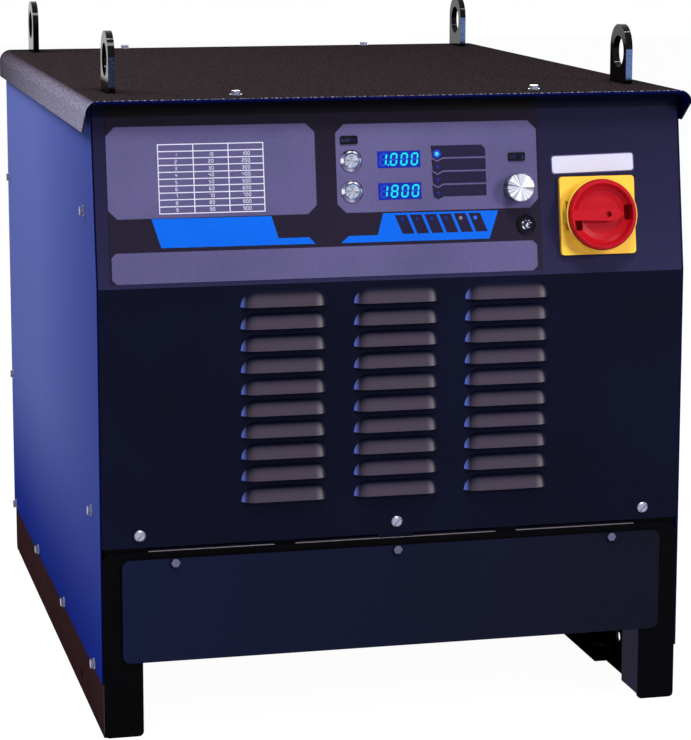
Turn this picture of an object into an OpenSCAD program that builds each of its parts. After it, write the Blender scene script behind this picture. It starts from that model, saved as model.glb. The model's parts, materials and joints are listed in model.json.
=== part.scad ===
// Stud welding power source: a sheet steel cabinet on two rails, with a louvred front panel that is
// bent once into a sloped control panel, a lid with four lifting eyes, and the transformer, choke,
// rectifier and fan inside. Millimetres, +Z up, front towards -Y, origin on the floor at the middle.

/* [Cabinet] */
// Width across the side panels
body_w = 686; // [600:1:800]
// Depth from the front panel to the rear panel
body_d = 886; // [860:1:1000]
// Height of the lid's top face above the floor
body_h = 723; // [640:1:840]
// Height of the sloped control panel, from the bend to the lid's top face
control_h = 208; // [204:1:216]
// How far the control panel leans back over its height
lean = 32; // [25:1:45]
// Thickness of the cabinet sheet
sheet = 2; // [1.5:0.1:2.6]
// Gap between the base frames and the panels above them
panel_gap = 5; // [3:0.5:8]
// Depth of the panels' side flanges
flange_d = 86; // [80:1:110]
// Depth of the panels' top flanges
top_flange = 40; // [30:1:60]

/* [Base] */
// Thickness of the base steel
base_sheet = 3; // [2.5:0.1:4]
// Height of the base frames
base_h = 215; // [190:1:245]
// Width of a leg, from the body's side
leg_w = 47; // [40:1:60]
// Height of the front frame's lintel
lintel_h = 29; // [26:1:36]
// Depth of the legs' return flanges
leg_return_d = 56; // [40:1:70]
// Height of the rails
rail_h = 95; // [90:1:105]
// Width of the rails' flanges beside the legs
rail_narrow_w = 30; // [25:1:36]
// Length of the narrow stretch of the rails' flanges
rail_notch_len = 152; // [120:1:180]
// Diameter of the holes in the rails' webs
rail_hole_d = 14; // [10:0.5:18]
// Height of the rail holes above the floor
rail_hole_z = 20; // [14:1:30]
// Distance between the two holes of a rail
rail_hole_pitch = 510; // [400:1:600]
// Height of the side panels' lower edges
side_bottom = 64; // [50:1:66]

/* [Louvres] */
// Length of a louvre
louvre_len = 101.6; // [80:0.1:115]
// Height of a louvre
louvre_h = 17.5; // [14:0.1:19]
// How far a louvre stands out
louvre_out = 9; // [6:0.1:11]
// Distance between louvre rows
louvre_row_pitch = 24.8; // [23:0.1:25]
// Distance between louvre columns
louvre_column_pitch = 130.6; // [125:0.1:150]
// Columns of louvres
louvre_columns = 3; // [1:1:3]
// Distance of the top row's lower edge below the bend
louvre_top_drop = 25; // [22:1:30]
// Least distance of the lowest row above the front panel's lower edge
louvre_margin = 40; // [36:1:60]

/* [Lid] */
// How far the lid's sides stand outside the side panels
lid_overhang = 8.7; // [6:0.1:14]
// Height of the lid's side flanges
lid_drop = 37; // [28:1:45]
// Outside radius of the lid's bends
lid_bend_r = 16; // [10:0.5:18]
// Distance of the lid's front edge behind the front panel's face
lid_setback = 6; // [2:0.5:12]
// Height of the lid's front lip
lid_lip = 5; // [4:0.5:10]
// How far the slanted end of a side flange runs back
lid_slant = 32; // [20:1:45]

/* [Lifting bars] */
// Thickness of a lifting bar
bar_t = 8; // [6:0.5:10]
// Width of a lifting bar
bar_w = 57; // [50:1:64]
// Diameter of the lifting eye
eye_d = 38; // [30:1:42]
// Height of the eye's centre above the lid
eye_rise = 37; // [34:0.5:44]
// Height of a bar's round top above the lid
bar_rise = 69.5; // [64:0.5:80]
// Distance of a bar's middle from the side panel's face
bar_side_inset = 35; // [33:0.5:50]
// Middle of the front bars behind the front panel's face
bar_front_y = 130; // [125:1:150]
// Middle of the rear bars in front of the rear panel's face
bar_rear_inset = 42; // [36:1:60]

/* [Flap] */
// How far the rubber flap laps over each leg
flap_lap = 23; // [15:1:30]
// Height of the flap's lower edge
flap_bottom = 87; // [80:1:95]
// Distance of the flap's upper edge below the base frame's top
flap_drop = 9; // [8:0.5:11]
// Height of the clamped strip at the flap's top
flap_strip_h = 16; // [14:0.5:18]
// Thickness of the rubber
flap_t = 3.2; // [2:0.1:5]
// Corner radius of the flap
flap_r = 9; // [5:0.5:12]
// Distance of the outer flap screws from the legs
flap_screw_inset = 37.5; // [20:0.5:60]

/* [Control panel] */
// Thickness of the printed overlay film
film = 0.5; // [0.3:0.05:0.8]
// Distance of the overlay's left edge from the cabinet's left side
overlay_left_inset = 16; // [14:0.5:30]
// Distance of the overlay's right edge from the cabinet's right side
overlay_right_inset = 171; // [165:0.5:173]
// Lower edge of the overlay above the bend, along the slope
overlay_bottom = 5; // [3:0.5:8]
// Height of the overlay along the slope
overlay_h = 197.5; // [190:0.5:200]
// Diameter of a push button's bezel
bezel_d = 25; // [24:0.1:27]
// Diameter of a push button's face
button_d = 17.4; // [15:0.1:18]
// Travel of a push button
button_travel = 2; // [1:0.1:3]
// Width of a digit display
display_w = 50.3; // [45:0.1:54]
// Height of a digit display
display_h = 19; // [16:0.1:22]
// Width of a rocker switch's frame
rocker_w = 20; // [19:0.1:22]
// Height of a rocker switch's frame
rocker_h = 9.5; // [9:0.1:12]
// Tilt of a rocker to each side, in degrees
rocker_tilt = 8; // [5:0.5:10]
// Diameter of the encoder knob
knob_d = 32; // [28:0.5:36]
// Height of the knob's face above the panel
knob_top = 19; // [16:0.5:24]
// Press travel of the encoder
press_travel = 0.8; // [0.4:0.1:1]
// Diameter of the key lock's ring
lock_d = 22; // [21:0.1:24]
// Diameter of the key lock's turning barrel
lock_barrel_d = 12; // [10:0.1:13]

/* [Main switch] */
// Side of the yellow plate
switch_plate_w = 90; // [84:0.5:96]
// Thickness of the yellow plate
switch_plate_t = 6; // [4:0.1:8]
// Height of the yellow collar above the panel
collar_top = 21; // [16:0.5:22]
// Diameter of the red handle
handle_d = 80.6; // [76:0.2:82]
// Height of the handle's rim above the panel
handle_top = 27; // [24:0.5:34]
// Depth of the handle's dish at its rim
handle_dish = 9; // [6:0.5:12]
// Diameter of the switch shaft
switch_shaft_d = 10; // [8:0.5:12]

/* [Rear] */
// Diameter of the fan opening
fan_hole_d = 256; // [230:1:260]
// Diameter of the fan blade
fan_d = 248; // [200:1:250]
// Diameter of the guard's wire
guard_wire = 3.6; // [3:0.1:5]
// Rings of the fan guard
guard_rings = 6; // [3:1:8]
// Bore of the cable gland
gland_bore_d = 24; // [16:0.5:26]
// How far the cable gland stands out
gland_out = 34; // [28:1:45]

/* [Sockets] */
// Depth of the connection bay behind the front panel's face
bay_d = 90; // [80:1:98]
// Distance of the output sockets from the legs
socket_inset = 96; // [80:1:120]
// Height of the sockets in the front opening, as a share
socket_rise_share = 0.61; // [0.5:0.01:0.7]
// Bore of an output socket
socket_bore_d = 13.2; // [10:0.1:16]
// Depth of an output socket's bore
socket_bore_len = 30; // [20:1:34]

/* [Transformer] */
// Width of a core limb
limb_w = 70; // [50:1:76]
// Distance between limbs
limb_pitch = 150; // [146:1:160]
// Stack height of the core laminations
core_d = 110; // [90:1:120]
// Height of the core's windows
window_h = 160; // [140:1:180]
// Radial build of a winding
winding_t = 34; // [25:1:37]

/* [Hidden] */

// Shared working values
$fn = 96;
over = 1;             // overrun of every cut
fit = 0.35;           // clearance of a moving or inserted piece
run_fit = 0.05;       // radial clearance of a running shaft
hex_sides = 6;

// Screws
screw_r = 3;
screw_hole_r = screw_r + fit;
washer_r = 6.6;
washer_t = 1;
hex_r = 5.5;
hex_h = 4;
round_head_r = 6.5;
round_head_h = 3;
slot_w = 1.6;
slot_deep = 1.4;
screw_len = 9;

// Cabinet
half_w = body_w / 2;
inner_half = half_w - sheet;
lid_under = body_h - sheet;
bend_h = body_h - control_h;
panel_bottom = base_h + panel_gap;
slope_rise = lid_under - bend_h;
slope_a = atan(lean / slope_rise);
function slope_y(s) = s * sin(slope_a);
function slope_z(s) = bend_h + s * cos(slope_a);
panel_screw_inset = 43;
panel_screw_up = 14;
panel_screw_x = inner_half - panel_screw_inset;
panel_screw_z = panel_bottom + panel_screw_up;
rear_y = body_d - sheet;
rear_flange_d = flange_d / 2;

// Side screws: the row along the rail and the columns on the front and rear flanges
row_up = 7;
row_z = side_bottom + row_up;
row_front_y = 60;
row_rear_inset = 25;
row_rear_y = body_d - row_rear_inset;
row_steps = 3;
row_step = (row_rear_y - row_front_y) / row_steps;
column_low_y = 65;
column_low_up = 31;
column_low_z = panel_bottom + column_low_up;
column_high_y = 92;
column_high_up = 77;
column_high_z = bend_h + column_high_up;
rear_low_up = 42;
rear_low_z = panel_bottom + rear_low_up;
rear_high_up = 30;
rear_high_z = bend_h + rear_high_up;
side_places = [[row_front_y, row_z], [row_front_y + row_step, row_z], [row_rear_y - row_step, row_z],
    [row_rear_y, row_z], [column_low_y, column_low_z], [column_high_y, column_high_z],
    [row_rear_y, rear_low_z], [row_rear_y, rear_high_z]];

// Base
leg_inner = half_w - leg_w;
front_open_h = base_h - lintel_h;
foot_r = 6;
frame_chamfer = 8;
ledge_d = 21;
tab_x = 131;
tab_w = 25;
end_tab_w = 48;
end_tab_gap = 3;
end_tab_x = inner_half - end_tab_gap - end_tab_w;
tab_root = 25;
tab_up = 35;
rail_w = inner_half - leg_inner;
rail_len = body_d - 2 * base_sheet;
deck_z = rail_h;
deck_top = deck_z + base_sheet;
deck_half = inner_half - base_sheet;
deck_gap = 1;
deck_front = leg_return_d + deck_gap;

// Lid
lid_half = half_w + lid_overhang;
lid_len = body_d - lid_setback;
lid_nose = 4;
lid_screw_x = 175;
lid_front_screw_inset = 20;
lid_front_screw_y = lean + lid_front_screw_inset;
lid_rear_screw_inset = 12;
lid_rear_screw_y = body_d - lid_rear_screw_inset;
bar_gap = 1.5;
bar_x = half_w - bar_side_inset;
relief_w = 8;
relief_h = 4;
bar_rear_y = body_d - bar_rear_inset;
eye_z = body_h + eye_rise;
round_z = body_h + bar_rise - bar_w / 2;

// Louvre: a cylinder with ball ends, whose axis lies behind the sheet
louvre_r = (louvre_out * louvre_out + louvre_h * louvre_h) / (2 * louvre_out);
louvre_back = louvre_r - louvre_out;
louvre_straight = louvre_len - 2 * louvre_h;
louvre_span = bend_h - louvre_top_drop - panel_bottom - louvre_margin;
louvre_rows = floor(louvre_span / louvre_row_pitch) + 1;
louvre_places = [for (c = [0 : louvre_columns - 1], r = [0 : louvre_rows - 1])
    [(c - (louvre_columns - 1) / 2) * louvre_column_pitch,
     bend_h - louvre_top_drop - r * louvre_row_pitch]];

// Flap
flap_gap = fit;
flap_w = 2 * (leg_inner + flap_lap);
flap_top = base_h - flap_drop;
flap_screw_x = leg_inner - flap_screw_inset;
flap_hinge_z = flap_top - flap_strip_h;
flap_screw_drop = 4;
flap_screw_z = flap_top - flap_screw_drop;
flap_screw_r = 2.2;
flap_hex_r = 5.2;
flap_hex_h = 4;

// Control panel, in distances from the cabinet's right side and up the slope
overlay_left = half_w - overlay_left_inset;
overlay_right = half_w - overlay_right_inset;
button_inset = 392.5;
button_x = half_w - button_inset;
button_upper_s = 135.6;
button_lower_s = 101;
display_inset = 337;
display_x = half_w - display_inset;
display_upper_s = 136;
display_lower_s = 100;
rocker_left_inset = 394.5;
rocker_left_s = 159;
rocker_left_place = [half_w - rocker_left_inset, rocker_left_s];
rocker_right_inset = 198.2;
rocker_right_s = 135.7;
rocker_right_place = [half_w - rocker_right_inset, rocker_right_s];
knob_inset = 199;
knob_s = 100;
knob_place = [half_w - knob_inset, knob_s];
lock_inset = 189.5;
lock_s = 57.7;
lock_place = [half_w - lock_inset, lock_s];
menu_light_inset = 292.3;
menu_light_x = half_w - menu_light_inset;
menu_light_top_s = 141;
menu_light_step = 14.9;
menu_lights = 4;
status_light_inset = 336;
status_light_x = half_w - status_light_inset;
status_light_s = 67.5;
status_light_step = 17.3;
status_lights = 6;
light_r = 2.3;
light_h = 0.7;
bezel_h = 2.6;
button_barrel_r = 11;
button_barrel_len = 30;
button_stroke_room = 2 * button_travel;
button_len = 12;
button_rise = 1;
display_deep = 12;
display_rise = 0.4;
rocker_frame_h = 1.6;
rocker_deep = 14;
rocker_wall = 1.2;
rocker_box_w = rocker_w - 2 * rocker_wall;
rocker_box_h = rocker_h - 2 * rocker_wall;
rocker_pivot_deep = 3;
rocker_rise = 2.4;
rocker_foot = 6;
encoder_w = 26;
encoder_deep = 22;
bushing_r = 4.6;
bushing_out = 6;
encoder_shaft_r = 3;
encoder_shaft_deep = 15;
plunger_r = 5;
plunger_t = 3;
knob_skirt = 2.4;
knob_recess_r = 8;
knob_recess_h = 6;
knob_wall = 3;
knob_bevel = 1;
knob_flutes = 36;
flute_r = 0.7;
lock_h = 3.6;
lock_tube_r = 9.3;
lock_len = 26;
lock_floor = 4;
key_groove_r = 4.4;
key_groove_w = 1.3;
key_groove_deep = 3;

// Main switch
switch_inset = 104.3;
switch_x = half_w - switch_inset;
switch_s = 66;
switch_plate_r = 4;
switch_block_w = 76;
switch_block_deep = 68;
switch_shaft_deep = 40;
handle_gap = 0.4;
handle_bottom = switch_plate_t + handle_gap;
handle_rim_w = 2.2;
handle_bevel = 2.3;
grip_left_w = 11;
grip_mid_w = 15;
grip_mid_x = 8;
grip_tip_x = 25.5;
grip_steps = 6;
grip_drop = 1;
padlock_x = 6.5;
padlock_r = 3.4;
padlock_floor = 3;
padlock_right = [31, 2];
padlock_right_size = [8, 18];
padlock_left = [-28.5, -12];
padlock_left_size = [11, 11];
padlock_corner_r = 2;
handle_r = handle_d / 2;
handle_face_r = handle_r - handle_bevel;
collar_gap = 0.6;
collar_wall = 2.6;
collar_taper = 1;
collar_slot_w = 9;
collar_slot_h = 9;
collar_slot_a = 17;
bowl_r = handle_face_r - handle_rim_w;
bowl_r_shares = [0.91, 0.8, 0.62];
bowl_deep_shares = [0.55, 0.88, 1];

// Foremost and rearmost points, which set the middle of the footprint
front_reach = slope_y(switch_s - handle_face_r) - handle_top * cos(slope_a);
rear_reach = body_d + gland_out;
mid_y = (front_reach + rear_reach) / 2;

// Rear
fan_z = (panel_bottom + lid_under) / 2;
guard_rim = 8;
guard_ear_r = 8;
guard_ear_t = 2;
guard_lift = 0.3;
guard_nest_share = 0.8;
guard_hub_r = 10;
guard_hub_t = 2.4;
shroud_wall = 3;
shroud_len = 84;
shroud_r = fan_hole_d / 2 + shroud_wall;
blade_count = 5;
blade_hub_r = 34;
blade_hub_h = 34;
blade_t = 3;
blade_chord = 70;
blade_pitch_a = 32;
motor_r = 46;
motor_len = 95;
motor_shaft_r = 6;
motor_arm_w = 22;
motor_arm_t = 5;
motor_arms = 3;
blade_inset = 44;
blade_y = rear_y - blade_inset;
motor_back_y = rear_y - shroud_len;
gland_inset = 113;
gland_x = gland_inset - half_w;
gland_up = 70;
gland_z = panel_bottom + gland_up;
gland_hex_r = 24;
gland_hex_h = 9;
gland_thread_r = 16;
gland_thread_len = 16;
gland_nut_r = 18.5;
gland_tip_r = 15;
gland_inner_nut_h = 6;

// Sockets
socket_x = leg_inner - socket_inset;
socket_z = deck_top + (front_open_h - deck_top) * socket_rise_share;
socket_flange_r = 28;
socket_flange_h = 8;
socket_nose_r = 21;
socket_nose_h = 7;
socket_barrel_r = 18;
socket_barrel_len = 26;
socket_stud_r = 6;
socket_stud_len = 16;
plug_w = 42;
plug_t = 3;
plug_shell_r = 16;
plug_shell_h = 14;
plug_wall = 2;
plug_pin_r = 1.3;
plug_pin_ring = 8;
plug_pins = 6;
plug_barrel_r = 15;
plug_barrel_len = 18;
center_tab_w = 40;

// Transformer, choke and rectifier
trafo_place_share = 0.485;
trafo_y = body_d * trafo_place_share;
core_lift = 20;
core_z = deck_top + core_lift;
yoke_h = limb_w;
core_w = 2 * limb_pitch + limb_w;
core_h = window_h + 2 * yoke_h;
winding_gap = 0.5;
winding_end_gap = 2;
winding_h = window_h - 2 * winding_end_gap;
clamp_t = 8;
clamp_foot = 45;
clamp_foot_t = 6;
clamp_margin = 8;
choke_side_inset = 193;
choke_x = choke_side_inset - half_w;
choke_inset = 196;
choke_y = body_d - choke_inset;
choke_w = 180;
choke_h = 170;
choke_d = 80;
choke_limb = 50;
choke_yoke = 35;
sink_side_inset = 81;
sink_x = half_w - sink_side_inset;
sink_t = 12;
sink_inset = 246;
sink_y = body_d - sink_inset;
sink_len = 160;
sink_h = 240;
fin_len = 60;
fin_t = 4;
fin_pitch = 16;
thyristor_w = 60;
thyristor_len = 90;
thyristor_h = 28;
thyristor_step = 78;
thyristors_n = 3;
bus_t = 6;
bus_h = 40;
bus_y = bay_d + sheet + socket_barrel_len;
bus_stud_over = 20;

// Control board
board_left_inset = 418;
board_left = half_w - board_left_inset;
board_right_inset = 177;
board_right = half_w - board_right_inset;
board_bottom = 74;
board_top = 172;
board_t = 1.6;
board_deep = 46;
standoff_r = 3;
standoff_inset = 7;
chip_h = 12;
chips = 3;
chip_inset = 40;
chip_pitch = 66;
chip_up = 35;
chip_w = 34;
chip_l = 28;

// Placing
module home() translate([0, -mid_y, 0]) children();
module on_slope(x, s) translate([x, slope_y(s), slope_z(s)]) rotate([90 - slope_a, 0, 0]) children();
module on_front(x, z) translate([x, 0, z]) rotate([90, 0, 0]) children();
module on_left(y, z) translate([-half_w, y, z]) rotate([90, 0, -90]) children();
module on_rear(x, z) translate([x, body_d, z]) rotate([90, 0, 180]) children();
module on_bay(x, z) translate([x, bay_d, z]) rotate([90, 0, 0]) children();
module along_x(x, len) translate([x, 0, 0]) rotate([90, 0, 90]) linear_extrude(len) children();
module along_y(y, len) translate([0, y + len, 0]) rotate([90, 0, 0]) linear_extrude(len) children();
module both_sides() {
    children();
    mirror([1, 0, 0]) children();
}
module hole(r, deep) translate([0, 0, -deep]) cylinder(r = r, h = deep + over);

// A rectangle with round corners, about its middle
module round_rect(w, h, r) {
    square([w - 2 * r, h], center = true);
    square([w, h - 2 * r], center = true);
    for (x = [-1, 1], y = [-1, 1]) translate([x * (w / 2 - r), y * (h / 2 - r)]) circle(r);
}

// What rounds a lower corner: the corner's square less its circle
module corner_cut(r) difference() {
    translate([0, -over]) square([r + over, r + over]);
    translate([0, r]) circle(r);
}

// Screws, with the surface they sit on at zero
module hex_screw(len) {
    translate([0, 0, washer_t]) cylinder(r = hex_r, h = hex_h, $fn = hex_sides);
    cylinder(r = washer_r, h = washer_t);
    translate([0, 0, -len]) cylinder(r = screw_r, h = len + washer_t);
}
module slotted_screw(len) difference() {
    union() {
        cylinder(r = round_head_r, h = round_head_h / 2);
        translate([0, 0, round_head_h / 2])
            cylinder(r1 = round_head_r, r2 = round_head_r - round_head_h / 2, h = round_head_h / 2);
        translate([0, 0, -len]) cylinder(r = screw_r, h = len + round_head_h / 2);
    }
    rotate(45) translate([-round_head_r - over, -slot_w / 2, round_head_h - slot_deep])
        cube([2 * (round_head_r + over), slot_w, slot_deep + over]);
}

// Left side screw holes, through everything behind the panel
module side_cuts() for (p = side_places) on_left(p[0], p[1]) hole(screw_hole_r, flange_d);
module lid_cuts() for (x = [-1, 1], y = [lid_front_screw_y, lid_rear_screw_y])
    translate([x * lid_screw_x, y, body_h]) hole(screw_hole_r, lid_drop / 2);
module panel_cuts() for (x = [-1, 0, 1]) on_front(x * panel_screw_x, panel_screw_z)
    hole(screw_hole_r, ledge_d);

// Rail: a channel that opens towards the middle, with narrower flanges beside the legs
module rail_section() translate([-inner_half, 0]) {
    square([base_sheet, rail_h]);
    square([rail_w, base_sheet]);
    translate([0, rail_h - base_sheet]) square([rail_w, base_sheet]);
}
module rail() difference() {
    along_y(base_sheet, rail_len) rail_section();
    for (y = [base_sheet - over, body_d - base_sheet - rail_notch_len])
        translate([-inner_half + rail_narrow_w, y, -over])
            cube([rail_w, rail_notch_len + over, rail_h + 2 * over]);
    for (y = [-1, 1]) on_left(body_d / 2 + y * rail_hole_pitch / 2, rail_hole_z)
        hole(rail_hole_d / 2, leg_w / 2);
    side_cuts();
}
module rail_left() color("black") home() rail();
module rail_right() color("black") home() mirror([1, 0, 0]) rail();

// Base frame: a portal of bent plate with return flanges on its legs, a ledge and tabs on top
module portal(open_h) difference() {
    polygon([[-inner_half, 0], [inner_half, 0], [inner_half, base_h - frame_chamfer],
        [inner_half - frame_chamfer, base_h], [frame_chamfer - inner_half, base_h],
        [-inner_half, base_h - frame_chamfer]]);
    translate([-leg_inner, -over]) square([2 * leg_inner, open_h + over]);
    for (m = [0, 1]) mirror([m, 0]) {
        translate([inner_half - foot_r, 0]) corner_cut(foot_r);
        translate([leg_inner + foot_r, 0]) mirror([1, 0]) corner_cut(foot_r);
    }
}
module tab(x, w) translate([x - w / 2, sheet, base_h - tab_root]) cube([w, base_sheet, tab_root + tab_up]);
module base_frame(open_h) {
    along_y(0, base_sheet) portal(open_h);
    both_sides() {
        translate([leg_inner, 0, foot_r]) cube([base_sheet, leg_return_d, open_h - foot_r]);
        tab(tab_x, tab_w);
        tab(end_tab_x + end_tab_w / 2, end_tab_w);
    }
    difference() {
        translate([-end_tab_x, 0, base_h - base_sheet]) cube([2 * end_tab_x, ledge_d, base_sheet]);
        both_sides() translate([tab_x - tab_w / 2, sheet + base_sheet, base_h - tab_root])
            cube([tab_w, ledge_d, 2 * tab_root]);
    }
}
module base_front() color("black") home() difference() {
    base_frame(front_open_h);
    panel_cuts();
    for (x = [-1, 0, 1]) on_front(x * flap_screw_x, flap_screw_z) hole(flap_screw_r + fit, ledge_d / 2);
}
module base_rear() color("black") home() difference() {
    translate([0, body_d, 0]) mirror([0, 1, 0]) base_frame(rail_h);
    for (x = [-1, 1]) on_rear(x * panel_screw_x, panel_screw_z) hole(screw_hole_r, ledge_d);
}
module deck() color("dimgray") home() translate([-deck_half, deck_front, deck_z])
    cube([2 * deck_half, body_d - base_sheet - deck_front, base_sheet]);

// Louvre: hood form of a given radius, clipped at its lower lip and ahead of a given depth
module louvre_form(r, deep) {
    tall = sqrt(r * r - louvre_back * louvre_back) + louvre_back;
    intersection() {
        translate([0, louvre_back, 0]) rotate([0, 90, 0])
            cylinder(r = r, h = louvre_straight, center = true);
        translate([-louvre_straight / 2, -louvre_r, 0])
            cube([louvre_straight, louvre_r + deep, tall]);
    }
    for (m = [0, 1]) mirror([m, 0, 0]) intersection() {
        translate([louvre_straight / 2, louvre_back, 0]) sphere(r = r);
        translate([louvre_straight / 2, -louvre_r, 0]) cube([louvre_r, louvre_r + deep, tall]);
    }
}

// Front panel: one sheet, vertical below, sloped above, with side and top flanges
inner_top_s = (slope_rise - sheet + sheet * sin(slope_a)) / cos(slope_a);
front_profile = [[0, panel_bottom], [sheet, panel_bottom], [sheet, bend_h - sheet * tan(slope_a / 2)],
    [slope_y(inner_top_s) + sheet * cos(slope_a), lid_under - sheet],
    [lean + top_flange, lid_under - sheet], [lean + top_flange, lid_under], [lean, lid_under],
    [0, bend_h]];
front_flange = [[0, panel_bottom], [flange_d, panel_bottom], [flange_d, bend_h],
    [lean + flange_d, lid_under], [lean, lid_under], [0, bend_h]];
module control_cuts() {
    for (s = [button_upper_s, button_lower_s]) on_slope(button_x, s) hole(button_barrel_r + fit, bezel_d);
    for (s = [display_upper_s, display_lower_s]) on_slope(display_x, s)
        linear_extrude(2 * bezel_d, center = true)
            square([display_w + 2 * fit, display_h + 2 * fit], center = true);
    for (p = [rocker_left_place, rocker_right_place]) on_slope(p[0], p[1])
        linear_extrude(2 * bezel_d, center = true)
            square([rocker_box_w + 2 * fit, rocker_box_h + 2 * fit], center = true);
    on_slope(knob_place[0], knob_place[1]) hole(bushing_r + fit, bezel_d);
    on_slope(lock_place[0], lock_place[1]) hole(lock_tube_r + fit, bezel_d);
    on_slope(switch_x, switch_s) hole(switch_shaft_d, bezel_d);
}
module lid_relief() both_sides() translate([inner_half - relief_w, -over, lid_under - relief_h])
    cube([relief_w + over, body_d + 2 * over, relief_h + over]);
module front_panel() color("#16182a") home() difference() {
    union() {
        along_x(-inner_half, 2 * inner_half) polygon(front_profile);
        both_sides() along_x(inner_half - sheet, sheet) polygon(front_flange);
        for (p = louvre_places) translate([p[0], 0, p[1]]) louvre_form(louvre_r, sheet);
    }
    for (p = louvre_places) translate([p[0], 0, p[1]]) louvre_form(louvre_r - sheet, sheet + over);
    control_cuts();
    panel_cuts();
    lid_cuts();
    lid_relief();
    both_sides() side_cuts();
}

// Side panels and rear panel
side_top = lid_under - relief_h;
module side_panel() difference() {
    along_x(-half_w, sheet) polygon([[0, side_bottom], [body_d, side_bottom],
        [body_d, side_top], [(side_top - bend_h) * tan(slope_a), side_top], [0, bend_h]]);
    side_cuts();
}
module left_side_panel() color("#2a34a0") home() side_panel();
module right_side_panel() color("#2a34a0") home() mirror([1, 0, 0]) side_panel();
module guard_ears() for (a = [0 : 3]) rotate(45 + 90 * a)
    translate([fan_hole_d / 2 + guard_rim + guard_ear_r, 0]) children();
module rear_panel() color("#16182a") home() difference() {
    union() {
        translate([-inner_half, rear_y, panel_bottom])
            cube([2 * inner_half, sheet, lid_under - panel_bottom]);
        both_sides() translate([inner_half - sheet, rear_y - rear_flange_d, panel_bottom])
            cube([sheet, rear_flange_d + sheet, lid_under - panel_bottom]);
        translate([-inner_half, rear_y - top_flange, lid_under - sheet])
            cube([2 * inner_half, top_flange + sheet, sheet]);
    }
    on_rear(0, fan_z) {
        hole(fan_hole_d / 2, rear_flange_d);
        guard_ears() hole(screw_hole_r, rear_flange_d);
    }
    on_rear(gland_x, gland_z) hole(gland_thread_r + fit, rear_flange_d);
    for (x = [-1, 1]) on_rear(x * panel_screw_x, panel_screw_z) hole(screw_hole_r, rear_flange_d);
    lid_cuts();
    lid_relief();
    both_sides() side_cuts();
    bar_slots(bar_gap);
}

// Lid: a bent tray with slanted flange ends, a front lip, and slots for the lifting bars
module lid_section(half, top, r) {
    translate([-half, body_h - lid_drop]) square([2 * half, top - r - (body_h - lid_drop)]);
    translate([-half + r, body_h - lid_drop]) square([2 * (half - r), top - (body_h - lid_drop)]);
    for (x = [-1, 1]) translate([x * (half - r), top - r]) circle(r);
}
module bar_slots(gap) for (x = [-1, 1], y = [bar_front_y, bar_rear_y])
    translate([x * bar_x - bar_t / 2 - gap, y - bar_w / 2 - gap, lid_under - lid_drop / 2])
        cube([bar_t + 2 * gap, bar_w + 2 * gap, lid_drop]);
module lid() color("#2b2628") home() difference() {
    union() {
        difference() {
            along_y(lid_setback, lid_len) difference() {
                lid_section(lid_half, body_h, lid_bend_r);
                translate([0, -over]) lid_section(lid_half - sheet, lid_under + over, lid_bend_r - sheet);
            }
            along_x(-lid_half - over, 2 * (lid_half + over)) polygon([
                [lid_setback - over, body_h - lid_drop - over],
                [lid_setback + lid_slant, body_h - lid_drop - over],
                [lid_setback + lid_slant, body_h - lid_drop],
                [lid_setback + lid_nose, body_h - lid_bend_r],
                [lid_setback - over, body_h - lid_bend_r]]);
        }
        translate([-inner_half, lid_setback, body_h - lid_lip])
            cube([2 * inner_half, sheet, lid_lip - sheet / 2]);
    }
    bar_slots(bar_gap);
    lid_cuts();
}

// Lifting bars: flat bars from the deck up through the lid, with a round end and an eye
module lifting_bar(x, y) translate([0, y, 0]) along_x(x - bar_t / 2, bar_t) difference() {
    union() {
        translate([-bar_w / 2, deck_top]) square([bar_w, round_z - deck_top]);
        translate([0, round_z]) circle(bar_w / 2);
    }
    translate([0, eye_z]) circle(eye_d / 2);
}
module lifting_bar_front_left() color("black") home() lifting_bar(-bar_x, bar_front_y);
module lifting_bar_front_right() color("black") home() lifting_bar(bar_x, bar_front_y);
module lifting_bar_rear_left() color("black") home() lifting_bar(-bar_x, bar_rear_y);
module lifting_bar_rear_right() color("black") home() lifting_bar(bar_x, bar_rear_y);

// Connection panel: a bent tray behind the flap, with a roof and a tab for the middle panel screw
bay_half = leg_inner - 2 * sheet;
module connection_panel() color("#16182a") home() difference() {
    union() {
        translate([-bay_half, bay_d, deck_top]) cube([2 * bay_half, sheet, base_h + sheet - deck_top]);
        both_sides() translate([bay_half - sheet, deck_front, deck_top])
            cube([sheet, bay_d - deck_front + sheet, base_h + sheet - deck_top]);
        translate([-bay_half, sheet + base_sheet, base_h]) cube([2 * bay_half, bay_d - base_sheet, sheet]);
        translate([-center_tab_w / 2, sheet, base_h]) cube([center_tab_w, 2 * base_sheet, sheet]);
        translate([-center_tab_w / 2, sheet, base_h]) cube([center_tab_w, sheet, tab_up]);
    }
    panel_cuts();
    for (x = [-1, 1]) on_bay(x * socket_x, socket_z) hole(socket_barrel_r + fit, ledge_d);
    on_bay(0, socket_z) hole(plug_barrel_r + fit, ledge_d);
}
module output_socket() difference() {
    union() {
        cylinder(r = socket_flange_r, h = socket_flange_h);
        cylinder(r = socket_nose_r, h = socket_flange_h + socket_nose_h);
        translate([0, 0, -sheet - socket_barrel_len])
            cylinder(r = socket_barrel_r, h = socket_barrel_len + sheet);
        translate([0, 0, -sheet - socket_barrel_len - socket_stud_len])
            cylinder(r = socket_stud_r, h = socket_stud_len);
    }
    translate([0, 0, socket_flange_h + socket_nose_h]) hole(socket_bore_d / 2, socket_bore_len);
}
module output_sockets() color("#b08a4a") home()
    for (x = [-1, 1]) on_bay(x * socket_x, socket_z) output_socket();
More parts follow.
